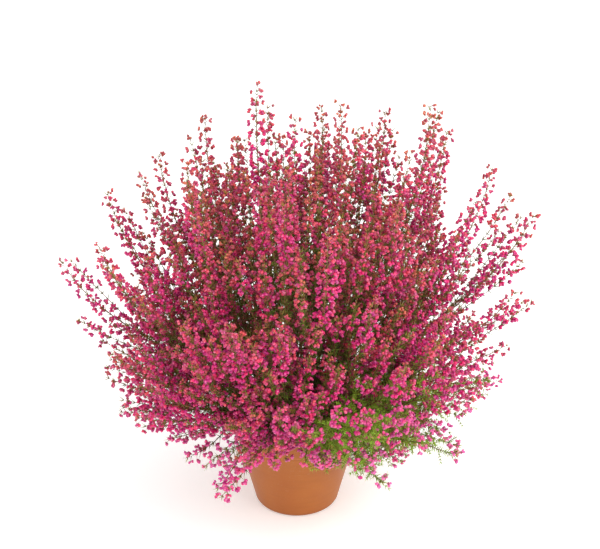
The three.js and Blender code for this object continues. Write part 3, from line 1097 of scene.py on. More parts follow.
@dataclass
class Stencil:
    """A small closed shape that is modelled once and then copied.

    It stands up +Z with its foot at the origin, one unit high and about one unit in radius. A crumb has
    its middle there.
    """

    points: Array
    triangles: Array
    unwrapped: Array
    widest_turn: ClassVar[float] = 1.35

    @classmethod
    def modelled(cls, sides: int, profile: Rings, pointed: bool) -> "Stencil":
        """Turned shape, from a cone whose upper face is extruded ring by ring.

        Args:
            sides: corners of each ring.
            profile: height and radius of each ring, the foot first. A foot of radius 0 is a point.
            pointed: whether the last ring is drawn together to a point.

        Returns:
            The stencil.
        """
        piece = raise_rings(sides, profile)
        bpy.ops.object.mode_set(mode="EDIT")
        if pointed:
            bpy.ops.mesh.merge(type="CENTER")
        bpy.ops.mesh.select_all(action="SELECT")
        bpy.ops.mesh.quads_convert_to_tris()
        face_outwards()
        return cls.taken_from(piece)

    @classmethod
    def taken_from(cls, piece: Piece) -> "Stencil":
        """Reads a modelled shape into a stencil, unwraps it and removes the shape."""
        mesh = piece.data
        points = np.array([vertex.co[:] for vertex in mesh.vertices])
        mesh.calc_loop_triangles()
        triangles = np.array([triangle.vertices[:] for triangle in mesh.loop_triangles])
        bpy.data.objects.remove(piece)
        bpy.data.meshes.remove(mesh)
        return cls(points, triangles, cls.unwrap(points, triangles))

    @classmethod
    def unwrap(cls, points: Array, triangles: Array) -> Array:
        """Place of each triangle's corners in a square, by their turn round Z and their way along it."""
        corners = points[triangles]
        turn = np.arctan2(corners[..., 1], corners[..., 0]) / (2 * math.pi) % 1
        radius = np.hypot(corners[..., 0], corners[..., 1])
        middle = radius < 1e-4
        reference = np.where(middle, np.nan, turn)
        lowest = np.nanmin(reference, axis=1, keepdims=True)
        highest = np.nanmax(reference, axis=1, keepdims=True)
        wraps = (highest - lowest > 0.5) & (turn < 0.5) & ~middle
        turn = turn + wraps
        filled = np.nanmean(np.where(middle, np.nan, turn), axis=1, keepdims=True)
        turn = np.where(middle, filled, turn)
        heights = points[:, 2]
        order = np.argsort(np.argsort(np.round(heights, 5), kind="stable"))
        rank = order / max(1, len(order) - 1)
        up = (rank[triangles] + (corners[..., 2] - heights.min()) / np.ptp(heights)) / 2
        return np.stack([turn / cls.widest_turn, up], axis=-1)


def clear_selection() -> None:
    """Deselects everything, so that an operator acts on the new primitive alone."""
    bpy.ops.object.select_all(action="DESELECT")


def pick(piece: Piece) -> None:
    """Selects one piece alone and makes it the active one."""
    clear_selection()
    piece.select_set(True)
    bpy.context.view_layer.objects.active = piece


def face_outwards() -> None:
    """From edit mode, turns all faces of the active piece outwards and goes back to object mode."""
    bpy.ops.mesh.select_all(action="SELECT")
    bpy.ops.mesh.normals_make_consistent(inside=False)
    bpy.ops.object.mode_set(mode="OBJECT")


def select_top(piece: Piece) -> None:
    """In edit mode, selects only the face whose middle lies highest and that faces up or down."""
    shape = bmesh.from_edit_mesh(piece.data)
    bpy.ops.mesh.select_mode(type="FACE")
    for face in shape.faces:
        face.select_set(False)
    shape.faces.ensure_lookup_table()
    level = [face for face in shape.faces if abs(face.normal.z) > 0.999]
    top = max(level, key=lambda face: face.calc_center_median().z)
    top.select_set(True)
    bmesh.update_edit_mesh(piece.data)


def raise_rings(sides: int, profile: Rings) -> Piece:
    """Turned body on Z: a cone whose upper face is extruded ring by ring.

    Args:
        sides: corners of each ring.
        profile: height and radius of each ring, from the foot up.

    Returns:
        The piece. In edit mode its last ring's face is selected.
    """
    clear_selection()
    (low, foot), (high, first) = profile[:2]
    bpy.ops.mesh.primitive_cone_add(
        vertices=sides, radius1=foot, radius2=first, depth=high - low, location=(0, 0, (low + high) / 2)
    )
    piece = bpy.context.object
    bpy.ops.object.transform_apply(location=True)
    bpy.ops.object.mode_set(mode="EDIT")
    select_top(piece)
    for (height, radius), (next_height, next_radius) in zip(profile[1:], profile[2:]):
        rise = (0, 0, next_height - height)
        bpy.ops.mesh.extrude_region_move(TRANSFORM_OT_translate={"value": rise})
        scale = next_radius / radius
        bpy.ops.transform.resize(value=(scale, scale, 1), center_override=(0, 0, next_height))
    bpy.ops.object.mode_set(mode="OBJECT")
    return piece


@dataclass
class Basket:
    """Gathers copies of stencils for one piece, with their materials, bake map and growth values."""

    materials: list[Material]
    points: list[Array] = field(default_factory=list)
    triangles: list[Array] = field(default_factory=list)
    maps: list[Array] = field(default_factory=list)
    growth: list[Array] = field(default_factory=list)
    finishes: list[Array] = field(default_factory=list)
    held: int = 0
    cell_gap: float = 0.06

    def put(self, stencil: Stencil, places: Array, growth: Array, finish: int, window: Window) -> None:
        """Adds copies of a stencil.

        Args:
            stencil: the shape.
            places: points of every copy, as copies by points by three, in millimetres.
            growth: four values for every copy and point, which the materials read.
            finish: which of the basket's materials it gets.
            window: left, bottom, width and height of its cells in the bake map.
        """
        copies, count = places.shape[:2]
        if not copies:
            return
        starts = self.held + np.arange(copies) * count
        self.points.append(places.reshape(-1, 3))
        self.triangles.append((stencil.triangles[None] + starts[:, None, None]).reshape(-1, 3))
        cells = self.cells(copies, window)
        spread = stencil.unwrapped[None] * cells[:, None, None, 2:] + cells[:, None, None, :2]
        self.maps.append(spread.reshape(-1, 2))
        self.growth.append(growth.reshape(-1, 4))
        self.finishes.append(np.full(copies * len(stencil.triangles), finish))
        self.held += copies * count

    def cells(self, copies: int, window: Window) -> Array:
        """Left, bottom, width and height of a cell for each copy, with a little room between them."""
        left, bottom, width, height = window
        columns = max(1, math.ceil(math.sqrt(copies * width / height)))
        rows = math.ceil(copies / columns)
        cell_width, cell_height = width / columns, height / rows
        index = np.arange(copies)
        x = left + (index % columns + self.cell_gap) * cell_width
        y = bottom + (index // columns + self.cell_gap) * cell_height
        size = np.array([cell_width, cell_height]) * (1 - 2 * self.cell_gap)
        return np.column_stack([x, y, np.broadcast_to(size, (copies, 2))])

    def tip_out(self, name: str) -> Piece:
        """Makes one piece of all that the basket holds.

        Args:
            name: the piece's name.

        Returns:
            The piece, in metres, with its place in its mesh.
        """
        points = np.concatenate(self.points) * MM
        triangles = np.concatenate(self.triangles)
        mesh = bpy.data.meshes.new(name)
        mesh.vertices.add(len(points))
        mesh.vertices.foreach_set("co", points.ravel())
        mesh.loops.add(triangles.size)
        mesh.loops.foreach_set("vertex_index", triangles.ravel())
        mesh.polygons.add(len(triangles))
        mesh.polygons.foreach_set("loop_start", np.arange(0, triangles.size, 3))
        mesh.polygons.foreach_set("material_index", np.concatenate(self.finishes))
        mesh.polygons.foreach_set("use_smooth", np.ones(len(triangles), bool))
        for material in self.materials:
            mesh.materials.append(material)
        mesh.update(calc_edges=True)
        unwrapped = mesh.uv_layers.new(name="OFBake")
        unwrapped.uv.foreach_set("vector", np.concatenate(self.maps).ravel())
        values = mesh.attributes.new(GROWTH, "FLOAT_COLOR", "POINT")
        values.data.foreach_set("color", np.concatenate(self.growth).ravel())
        piece = bpy.data.objects.new(name, mesh)
        bpy.context.scene.collection.objects.link(piece)
        return piece


@dataclass
class Stencils:
    """The shapes that the whole bush is made of."""

    stem_rings: int = 14
    thin_stem_rings: int = 6
    open_bell: Stencil = field(init=False)
    bell: Stencil = field(init=False)
    bud: Stencil = field(init=False)
    needle: Stencil = field(init=False)
    stem: Stencil = field(init=False)
    thin_stem: Stencil = field(init=False)

    def __post_init__(self) -> None:
        """Models each shape once."""
        open_bell = [(0.0, 0.0), (0.42, 0.98), (0.84, 0.54), (1.0, 0.84)]
        self.open_bell = Stencil.modelled(5, open_bell, pointed=False)
        self.bell = Stencil.modelled(4, [(0.0, 0.0), (0.48, 1.0), (1.0, 0.46)], pointed=False)
        self.bud = Stencil.modelled(4, [(0.0, 0.0), (0.56, 0.96), (1.0, 0.3)], pointed=True)
        self.needle = Stencil.modelled(3, [(0.0, 1.0), (1.0, 0.5)], pointed=True)
        self.stem = Stencil.modelled(5, self.even_rings(self.stem_rings), pointed=True)
        self.thin_stem = Stencil.modelled(4, self.even_rings(self.thin_stem_rings), pointed=True)

    @staticmethod
    def even_rings(count: int) -> Rings:
        """Rings of one radius at even heights."""
        return [(step / count, 1.0) for step in range(count + 1)]


def stand(stencil: Stencil, origins: Array, axes: Array, size: Array) -> Array:
    """Copies of a stencil, each on its own axis.

    Args:
        stencil: the shape.
        origins: place of each copy's foot.
        axes: unit direction of each copy.
        size: radius, second radius and height of each copy.

    Returns:
        Points as copies by points by three.
    """
    helper = np.where(np.abs(axes[:, 2:]) > 0.9, [[1.0, 0.0, 0.0]], [[0.0, 0.0, 1.0]])
    side = unit(np.cross(helper, axes))
    back = np.cross(axes, side)
    shape = stencil.points[None] * size[:, None, :]
    moved = shape[..., :1] * side[:, None] + shape[..., 1:2] * back[:, None] + shape[..., 2:] * axes[:, None]
    return origins[:, None] + moved


@dataclass
class Lines:
    """Places along stems, each with its direction and two directions across it."""

    middle: Array
    along: Array
    side: Array
    up: Array

    @classmethod
    def on(cls, arc: Arc, across: Array, shares: Array) -> "Lines":
        """Places on an arc at given shares of it."""
        along = arc.tangents(shares)
        side = unit(across - along * (along @ across)[:, None])
        return cls(arc.points(shares), along, side, np.cross(along, side))

    def outward(self, turns: Array) -> Array:
        """Unit directions away from the stem at each place, by their turn round it."""
        return self.side * np.cos(turns)[:, None] + self.up * np.sin(turns)[:, None]

    def repeated(self, times: int) -> "Lines":
        """Each place several times over."""
        rows = (self.middle, self.along, self.side, self.up)
        return Lines(*(np.repeat(some, times, axis=0) for some in rows))


class Rows:
    """Arrays that belong together, with one row for each copy."""

    @classmethod
    def joined(cls, some: list["Rows"]) -> "Rows":
        """The rows of several sets as one set."""
        return cls(*(np.concatenate([getattr(rows, one.name) for rows in some]) for one in fields(cls)))

    def picked(self, chosen: Array) -> "Rows":
        """The rows that are chosen."""
        return type(self)(*(getattr(self, one.name)[chosen] for one in fields(self)))


@dataclass
class Copies(Rows):
    """Needles or bells: foot, unit direction, length and width, and what their material reads.

    For needles first and second are youth and flush, for bells they are ripeness and paleness.
    """

    foot: Array
    heading: Array
    long: Array
    wide: Array
    first: Array
    second: Array


@dataclass
class Umbels(Rows):
    """Umbels of bells.

    Each has the root and end of its twig, its outward direction, the stem's direction, its way along
    the spire, and its ripeness and paleness.
    """

    roots: Array
    ends: Array
    outward: Array
    stem: Array
    along: Array
    ripe: Array
    pale: Array


@dataclass
class Spire:
    """One stem of a shoot with all that grows on it. What stays bare is a share of its upper stretch."""

    arc: Arc
    across: Array
    habit: Habit
    leads: bool
    ripeness: float
    paleness: float
    greenness: float
    uprightness: float
    flowerless: bool = False
    green_bare: float = 0.7
    flowerless_bare: float = 0.93

    def flowers_from(self) -> float:
        """Share of the stem at which its flowers begin. Green stems flower only near their tip."""
        begin = self.habit.bloom_from(self.arc)
        bare = self.flowerless_bare if self.flowerless else self.green_bare * self.greenness
        return begin + (1 - begin) * bare

    def lines(self, shares: Array) -> Lines:
        """Places along the stem."""
        return Lines.on(self.arc, self.across, shares)


@dataclass(frozen=True)
class Leafing:
    """Needles of one kind: size against a full needle, and lean from the stem in degrees."""

    scale: float
    lean: float


@dataclass(frozen=True)
class Bells:
    """Bells of an umbel, with sizes in millimetres and angles in degrees.

    The shares say how many umbels have a first, second, third and fourth bell, and the losses how much
    less often they do at a spire's tip. What is called play is the spread of a draw.
    """

    shares: tuple[float, ...] = (1.0, 1.0, 0.95, 0.8)
    losses: tuple[float, ...] = (0.0, 0.0, 0.1, 0.25)
    length: float = 4.1
    radius: float = 1.8
    length_range: Span = (0.88, 1.1)
    radius_range: Span = (0.9, 1.08)
    opening: Span = (34, 62)
    rise: float = 0.12
    rise_play: float = 0.3
    turn_play: float = 0.35  # in radians
    nod: float = 0.25
    shrink: float = 0.25  # how much smaller they are at a spire's tip
    shrink_range: Span = (0.7, 1.2)
    open_share: float = 0.1
    closed_share: float = 0.42
    open_above: float = 0.5  # ripeness above which a bell may be open, and below which it is a bud
    bud_below: float = 0.35

    def hung_on(self, umbels: Umbels, place: int, chance: Chance) -> Copies:
        """One bell on every umbel that has so many.

        Args:
            umbels: all umbels of the piece.
            place: which bell of the umbel, from 0.
            chance: the random draws.

        Returns:
            The bells.
        """
        wanted = self.shares[place] - self.losses[place] * umbels.along**2
        umbels = umbels.picked(chance.random(len(umbels.along)) < wanted)
        count = len(umbels.along)
        rise = chance.normal(self.rise, self.rise_play, count)[:, None]
        main = unit(umbels.outward + umbels.stem * rise)
        first = unit(np.cross(main, umbels.stem))
        second = np.cross(main, first)
        turn = (place * math.pi / 2 + chance.normal(0, self.turn_play, count))[:, None]
        opening = np.radians(chance.uniform(*self.opening, count))[:, None]
        heading = main * np.cos(opening) + (first * np.cos(turn) + second * np.sin(turn)) * np.sin(opening)
        heading[:, 2] -= self.nod
        small = 1.0 - self.shrink * umbels.along**2 * chance.uniform(*self.shrink_range, count)
        long = self.length * small * chance.uniform(*self.length_range, count)
        wide = self.radius * small * chance.uniform(*self.radius_range, count)
        return Copies(umbels.ends, unit(heading), long, wide, umbels.ripe, umbels.pale)


@dataclass(frozen=True)
class Mood:
    """What a shoot's place in the bush makes of its looks.

    Heights and bearings are in degrees. Paleness and greenness go from 0 to 1, and ripeness may pass 1,
    so that a spire stays ripe further up. What is called play is the spread of a draw.
    """

    upper_from: float = 10
    upper_span: float = 60
    ripe: float = 1.5
    ripe_loss: float = 0.72
    ripe_play: float = 0.1
    green_bearing: float = 303
    green_reach: Span = (20, 38)
    green_heights: Span = (30, 60)
    green_play: float = 0.08
    least_green: float = 0.1
    skirt_green: float = 0.45
    skirt_below: float = 32
    pale: float = 0.74
    pale_span: float = 44
    pale_green: float = 0.25
    pale_play: float = 0.13
    palest: float = 0.85
    flowerless_share: float = 0.7
    flowerless_from: float = 0.3
    sprig_freshness: float = 0.6

    def spires_of(self, shoot: Shoot, chance: Chance) -> list[Spire]:
        """The shoot's own stem and its side stems, each with how ripe, pale, green and upright it is."""
        degrees = math.degrees(shoot.elevation)
        upper = min(1.0, max(0.0, (degrees - self.upper_from) / self.upper_span))
        ripe = self.ripe - self.ripe_loss * upper + chance.normal(0, self.ripe_play)
        aside = degrees_apart(shoot.toward, self.green_bearing)
        green = fade(aside, *self.green_reach) * fade(degrees, *self.green_heights)
        green += chance.normal(0, self.green_play)
        skirt = self.skirt_green * max(0.0, 1 - degrees / self.skirt_below)
        green = 1.0 if shoot.leafy else min(1.0, max(self.least_green, skirt, green))
        pale = self.pale - degrees / self.pale_span + self.pale_green * green
        pale = float(np.clip(pale + chance.normal(0, self.pale_play), 0, self.palest))
        spires = [Spire(shoot.arc, shoot.across, shoot.habit, True, ripe, pale, green, upper)]
        for stem in shoot.sides:
            fresh = ripe - (self.sprig_freshness * chance.random() if stem.habit is SPRIG else 0)
            bare = chance.random() < self.flowerless_share * (green - self.flowerless_from)
            spires.append(Spire(stem.arc, shoot.across, stem.habit, False, fresh, pale, green, upper, bare))
        return spires


@dataclass
class ShootDresser:
    """Grows the stems, needles and bells of one shoot, with its sizes in millimetres.

    A piece of leaves has the needle's material first and the bark second. What is called play is the
    spread of a draw, and a range holds its two ends.
    """

    stencils: Stencils
    petal: Material
    needle: Material
    bark: Material
    mood: Mood = Mood()
    bells: Bells = Bells()
    old: Leafing = Leafing(scale=1.45, lean=56)
    young: Leafing = Leafing(scale=1.15, lean=34)
    tufted: Leafing = Leafing(scale=0.8, lean=38)
    stem_girth: float = 0.86
    stem_tip: float = 0.22
    side_bark: float = 0.35  # a side stem's foot looks like a shoot at this share of its length
    needle_length: float = 5.0
    needle_radius: float = 0.44
    needle_flatness: float = 0.7
    needle_range: Span = (0.75, 1.15)
    needle_root: float = 0.25
    lean_play: float = 9
    whorl_size: int = 4
    whorl_turn: float = 0.79
    whorl_play: float = 0.15
    width_share: float = 0.3  # how much a needle's size tells in its width
    bare_lead: float = 0.1  # share of a stem under its lowest needles, and of a side stem
    bare_side: float = 0.06
    green_closer: float = 0.4
    last_whorl: float = 0.985
    old_youth: Span = (0.4, 1.0)
    least_youth: float = 0.1
    old_flush: float = 0.06
    bloom_youth: Span = (0.6, 1.0)
    bloom_flush: Span = (0.2, 0.7)
    green_unflushed: float = 0.8
    flush_range: Span = (0.4, 1.3)
    tuft_spacing: Span = (60, 6)
    tuft_reach: Span = (9, 17)
    tuft_steps: int = 5
    tuft_start: float = 0.6
    tuft_above: float = 0.04
    tuft_lean: float = 0.75
    tuft_youth: float = 0.2
    thinning: float = 1.1
    tier: float = 9.5
    tier_pull: Span = (0.3, 0.9)
    fewest_umbels: int = 4
    umbel_closer: float = 0.35
    upright_closer: float = 0.14
    umbel_play: float = 0.4
    umbel_turn_play: float = 0.3
    twig_shares: Span = (0.64, 0.95)
    twig_range: Span = (0.6, 1.05)
    twig_rise: float = 0.5
    twig_drop: float = 0.3
    twig_radius: float = 0.42
    twig_overlap: float = 1.08
    twig_bark: float = 0.78
    tip_unripe: float = 0.85
    ripe_play: float = 0.09
    pale_play: float = 0.1
    stem_window: Window = (0.0, 0.0, 0.04, 1.0)
    side_window: Window = (0.04, 0.0, 0.06, 1.0)
    needle_window: Window = (0.1, 0.0, 0.7, 1.0)
    twig_window: Window = (0.8, 0.0, 0.2, 1.0)

    def dress(self, shoots: list[Shoot], name: str, seed: int) -> tuple[Piece, Piece]:
        """Makes the pieces of one or more shoots.

        Args:
            shoots: their layout.
            name: what the pieces' names start with.
            seed: of the random draws for these shoots.

        Returns:
            The piece of leaves and stems, and the piece of bells.
        """
        chance = np.random.default_rng(seed)
        greens = Basket([self.needle, self.bark])
        bells = Basket([self.petal])
        spires = [spire for shoot in shoots for spire in self.mood.spires_of(shoot, chance)]
        self.grow_stems(greens, spires, chance)
        needles = Copies.joined([self.needles_of(spire, chance) for spire in spires])
        flatness = self.needle_flatness
        self.put(greens, self.stencils.needle, needles, chance, self.needle_window, flatness)
        umbels = Umbels.joined([self.umbels_of(spire, chance) for spire in spires])
        self.put_twigs(greens, umbels, chance)
        self.put_bells(bells, umbels, chance)
        return greens.tip_out(name + "_leaves"), bells.tip_out(name + "_bells")

    def grow_stems(self, basket: Basket, spires: list[Spire], chance: Chance) -> None:
        """Bends a tapered stem along each spire's arc."""
        for stencil, leads, window in (
            (self.stencils.stem, True, self.stem_window),
            (self.stencils.thin_stem, False, self.side_window),
        ):
            shares = stencil.points[:, 2]
            along = shares if leads else mix(self.side_bark, 1, shares)
            places, growth = [], []
            for spire in spires:
                if spire.leads != leads:
                    continue
                lines = spire.lines(shares)
                radius = spire.habit.stem * self.stem_girth * (1 - shares) + self.stem_tip * shares
                outward = lines.side * stencil.points[:, :1] + lines.up * stencil.points[:, 1:2]
                places.append(lines.middle + outward * radius[:, None])
                tone = np.full(len(shares), chance.random())
                growth.append(np.column_stack([tone, along, shares, shares]))
            if places:
                basket.put(stencil, np.array(places), np.array(growth), 1, window)

    def needles_of(self, spire: Spire, chance: Chance) -> Copies:
        """Needles of one spire: whorls up the stem, thinner among the flowers, and short leafy tufts.

        Args:
            spire: the stem.
            chance: the random draws.

        Returns:
            The needles.
        """
        length = spire.arc.length()
        begin = spire.flowers_from()
        low = self.bare_lead if spire.leads else self.bare_side
        closer = 1 - self.green_closer * spire.greenness
        below, among = (gap * closer for gap in spire.habit.whorls)
        needles = []
        count = int((begin - low) * length / below)
        if count > 0:
            shares = np.linspace(low, begin, count)
            youth = spire.greenness * mix(*self.old_youth, shares) + self.least_youth
            flush = self.old_flush * shares
            needles.append(self.whorls(spire.lines(shares), chance, self.old, youth, flush))
        count = max(2, int((1 - begin) * length / among))
        shares = np.linspace(begin, self.last_whorl, count)
        flush = mix(*self.bloom_flush, (shares - begin) / (1 - begin))
        flush *= (1 - self.green_unflushed * spire.greenness) * chance.uniform(*self.flush_range)
        youth = np.full(count, mix(*self.bloom_youth, spire.greenness))
        needles.append(self.whorls(spire.lines(shares), chance, self.young, youth, flush))
        needles.append(self.tufts(spire, chance, low, begin, length))
        return Copies.joined(needles)

    def whorls(self, lines: Lines, chance: Chance, leafing: Leafing, youth: Array, flush: Array) -> Copies:
        """A whorl of needles at each place.

        Args:
            lines: places on a stem.
            chance: the random draws.
            leafing: how big the needles are and how they lean.
            youth: of each place.
            flush: of each place.

        Returns:
            The needles.
        """
        size = self.whorl_size
        places = len(lines.middle)
        count = places * size
        turns = np.repeat(np.arange(places) * self.whorl_turn + chance.random(), size)
        turns = turns + np.tile(np.arange(size) * 2 * math.pi / size, places)
        turns = turns + chance.normal(0, self.whorl_play, count)
        spread = lines.repeated(size)
        outward = spread.outward(turns)
        angle = np.radians(leafing.lean + chance.normal(0, self.lean_play, count))[:, None]
        heading = unit(spread.along * np.cos(angle) + outward * np.sin(angle))
        long = self.needle_length * leafing.scale * chance.uniform(*self.needle_range, count)
        wide = np.full(count, self.needle_radius * mix(1, leafing.scale, self.width_share))
        foot = spread.middle + outward * self.needle_root
        return Copies(foot, heading, long, wide, np.repeat(youth, size), np.repeat(flush, size))

    def tufts(self, spire: Spire, chance: Chance, low: float, high: float, length: float) -> Copies:
        """Short leafy shoots out of the stem: needles round a few short axes.

        Args:
            spire: the stem.
            chance: the random draws.
            low: share of the stem under which no tuft stands.
            high: share of the stem where the highest stands.
            length: the stem's length.

        Returns:
            The needles.
        """
        count = max(1, int((high - low) * length / mix(*self.tuft_spacing, spire.greenness)))
        lines = spire.lines(np.linspace(low + self.tuft_above, high, count))
        turns = np.arange(count) * GOLDEN_TURN + chance.random() * ANY_TURN
        heading = unit(lines.along * self.tuft_lean + lines.outward(turns))
        steps = self.tuft_steps
        reach = chance.uniform(*self.tuft_reach, count)
        rise = np.tile((np.arange(steps) + self.tuft_start) / steps, count) * np.repeat(reach, steps)
        stem = lines.repeated(steps)
        along = np.repeat(heading, steps, axis=0)
        side = unit(np.cross(along, stem.along))
        on_tufts = Lines(stem.middle + along * rise[:, None], along, side, np.cross(along, side))
        youth = np.full(count * steps, min(1.0, spire.greenness + self.tuft_youth))
        return self.whorls(on_tufts, chance, self.tufted, youth, np.zeros(count * steps))

    def put(
        self,
        basket: Basket,
        stencil: Stencil,
        copies: Copies,
        chance: Chance,
        window: Window,
        flatness: float = 1.0,
    ) -> None:
        """Puts copies of a stencil into a basket, in its first material.

        Args:
            basket: what they go into.
            stencil: the shape.
            copies: where they stand.
            chance: the random draws.
            window: their part of the bake map.
            flatness: how thick they are against their width.
        """
        size = np.column_stack([copies.wide, copies.wide * flatness, copies.long])
        places = stand(stencil, copies.foot, copies.heading, size)
        growth = self.growth_of(stencil, chance.random(len(copies.foot)), copies.first, copies.second)
        basket.put(stencil, places, growth, 0, window)

    def umbels_of(self, spire: Spire, chance: Chance) -> Umbels:
        """Umbels of one spire.

        Args:
            spire: the stem.
            chance: the random draws.

        Returns:
            The umbels, from the foot of the spire up.
        """
        begin = spire.flowers_from()
        length = (1 - begin) * spire.arc.length()
        closer = (1 - self.umbel_closer * spire.greenness) * (1 - self.upright_closer * spire.uprightness)
        count = max(self.fewest_umbels, round(length / (spire.habit.umbels * closer)))
        play = chance.uniform(-self.umbel_play, self.umbel_play, count)
        order = (np.arange(count) + 0.5 + play) / count
        along = self.gathered(order**self.thinning, length, chance)
        lines = spire.lines(begin + (1 - begin) * along)
        turns = np.arange(count) * GOLDEN_TURN + chance.random() * ANY_TURN
        outward = lines.outward(turns + chance.normal(0, self.umbel_turn_play, count))
        wide, narrow = spire.habit.foot * self.twig_shares[0], spire.habit.tip * self.twig_shares[1]
        twig = (mix(wide, narrow, along**2) * chance.uniform(*self.twig_range, count))[:, None]
        ends = lines.middle + outward * twig + lines.along * (twig * self.twig_rise)
        roots = lines.middle - lines.along * (twig * self.twig_drop)
        ripe = spire.ripeness - self.tip_unripe * along**3 + chance.normal(0, self.ripe_play, count)
        pale = spire.paleness + chance.normal(0, self.pale_play, count)
        return Umbels(roots, ends, outward, lines.along, along, np.clip(ripe, 0, 1), np.clip(pale, 0, 1))

    def gathered(self, along: Array, length: float, chance: Chance) -> Array:
        """Places along a spire, drawn together into tiers, more so towards the tip.

        Args:
            along: even places from 0 to 1.
            length: the spire's length.
            chance: the random draws.

        Returns:
            The places in their tiers, from 0 to 1.
        """
        wave = 2 * math.pi * along * length / self.tier + chance.random() * ANY_TURN
        pull = mix(*self.tier_pull, along) * self.tier / (2 * math.pi * length)
        return np.clip(along + pull * np.sin(wave), 0, 1)

    def put_twigs(self, basket: Basket, umbels: Umbels, chance: Chance) -> None:
        """Copies the twig to every umbel, as a long needle in bark."""
        stencil = self.stencils.needle
        away = umbels.ends - umbels.roots
        reach = np.linalg.norm(away, axis=1) * self.twig_overlap
        thick = np.full(len(reach), self.twig_radius)
        places = stand(stencil, umbels.roots, unit(away), np.column_stack([thick, thick, reach]))
        tones = chance.random(len(reach))
        growth = self.growth_of(stencil, tones, tones, tones)
        growth[..., 1] = mix(self.twig_bark, 1, growth[..., 1])
        basket.put(stencil, places, growth, 1, self.twig_window)

    def put_bells(self, basket: Basket, umbels: Umbels, chance: Chance) -> None:
        """Hangs up to four bells on every umbel: open ones, full ones and buds."""
        places = range(len(self.bells.shares))
        rows = Copies.joined([self.bells.hung_on(umbels, place, chance) for place in places])
        kind = chance.random(len(rows.first))
        opened = (kind < self.bells.open_share) & (rows.first > self.bells.open_above)
        closed = (kind > 1 - self.bells.closed_share) | (rows.first < self.bells.bud_below)
        first, last = float(opened.mean()), float(closed.mean())
        for stencil, chosen, window in (
            (self.stencils.open_bell, opened, (0.0, 0.0, first, 1.0)),
            (self.stencils.bell, ~opened & ~closed, (first, 0.0, 1 - first - last, 1.0)),
            (self.stencils.bud, closed, (1 - last, 0.0, last, 1.0)),
        ):
            self.put(basket, stencil, rows.picked(chosen), chance, window)

    @staticmethod
    def growth_of(stencil: Stencil, tones: Array, third: Array, fourth: Array) -> Array:
        """Growth values of every copy and point.

        Args:
            stencil: the shape, which gives the way along it.
            tones: one for each copy.
            third: one for each copy, such as ripeness.
            fourth: one for each copy, such as paleness.

        Returns:
            Copies by points by four.
        """
        heights = stencil.points[:, 2]
        shape = (len(tones), len(heights))
        columns = (tones[:, None], heights[None], third[:, None], fourth[:, None])
        return np.stack([np.broadcast_to(column, shape) for column in columns], axis=-1)


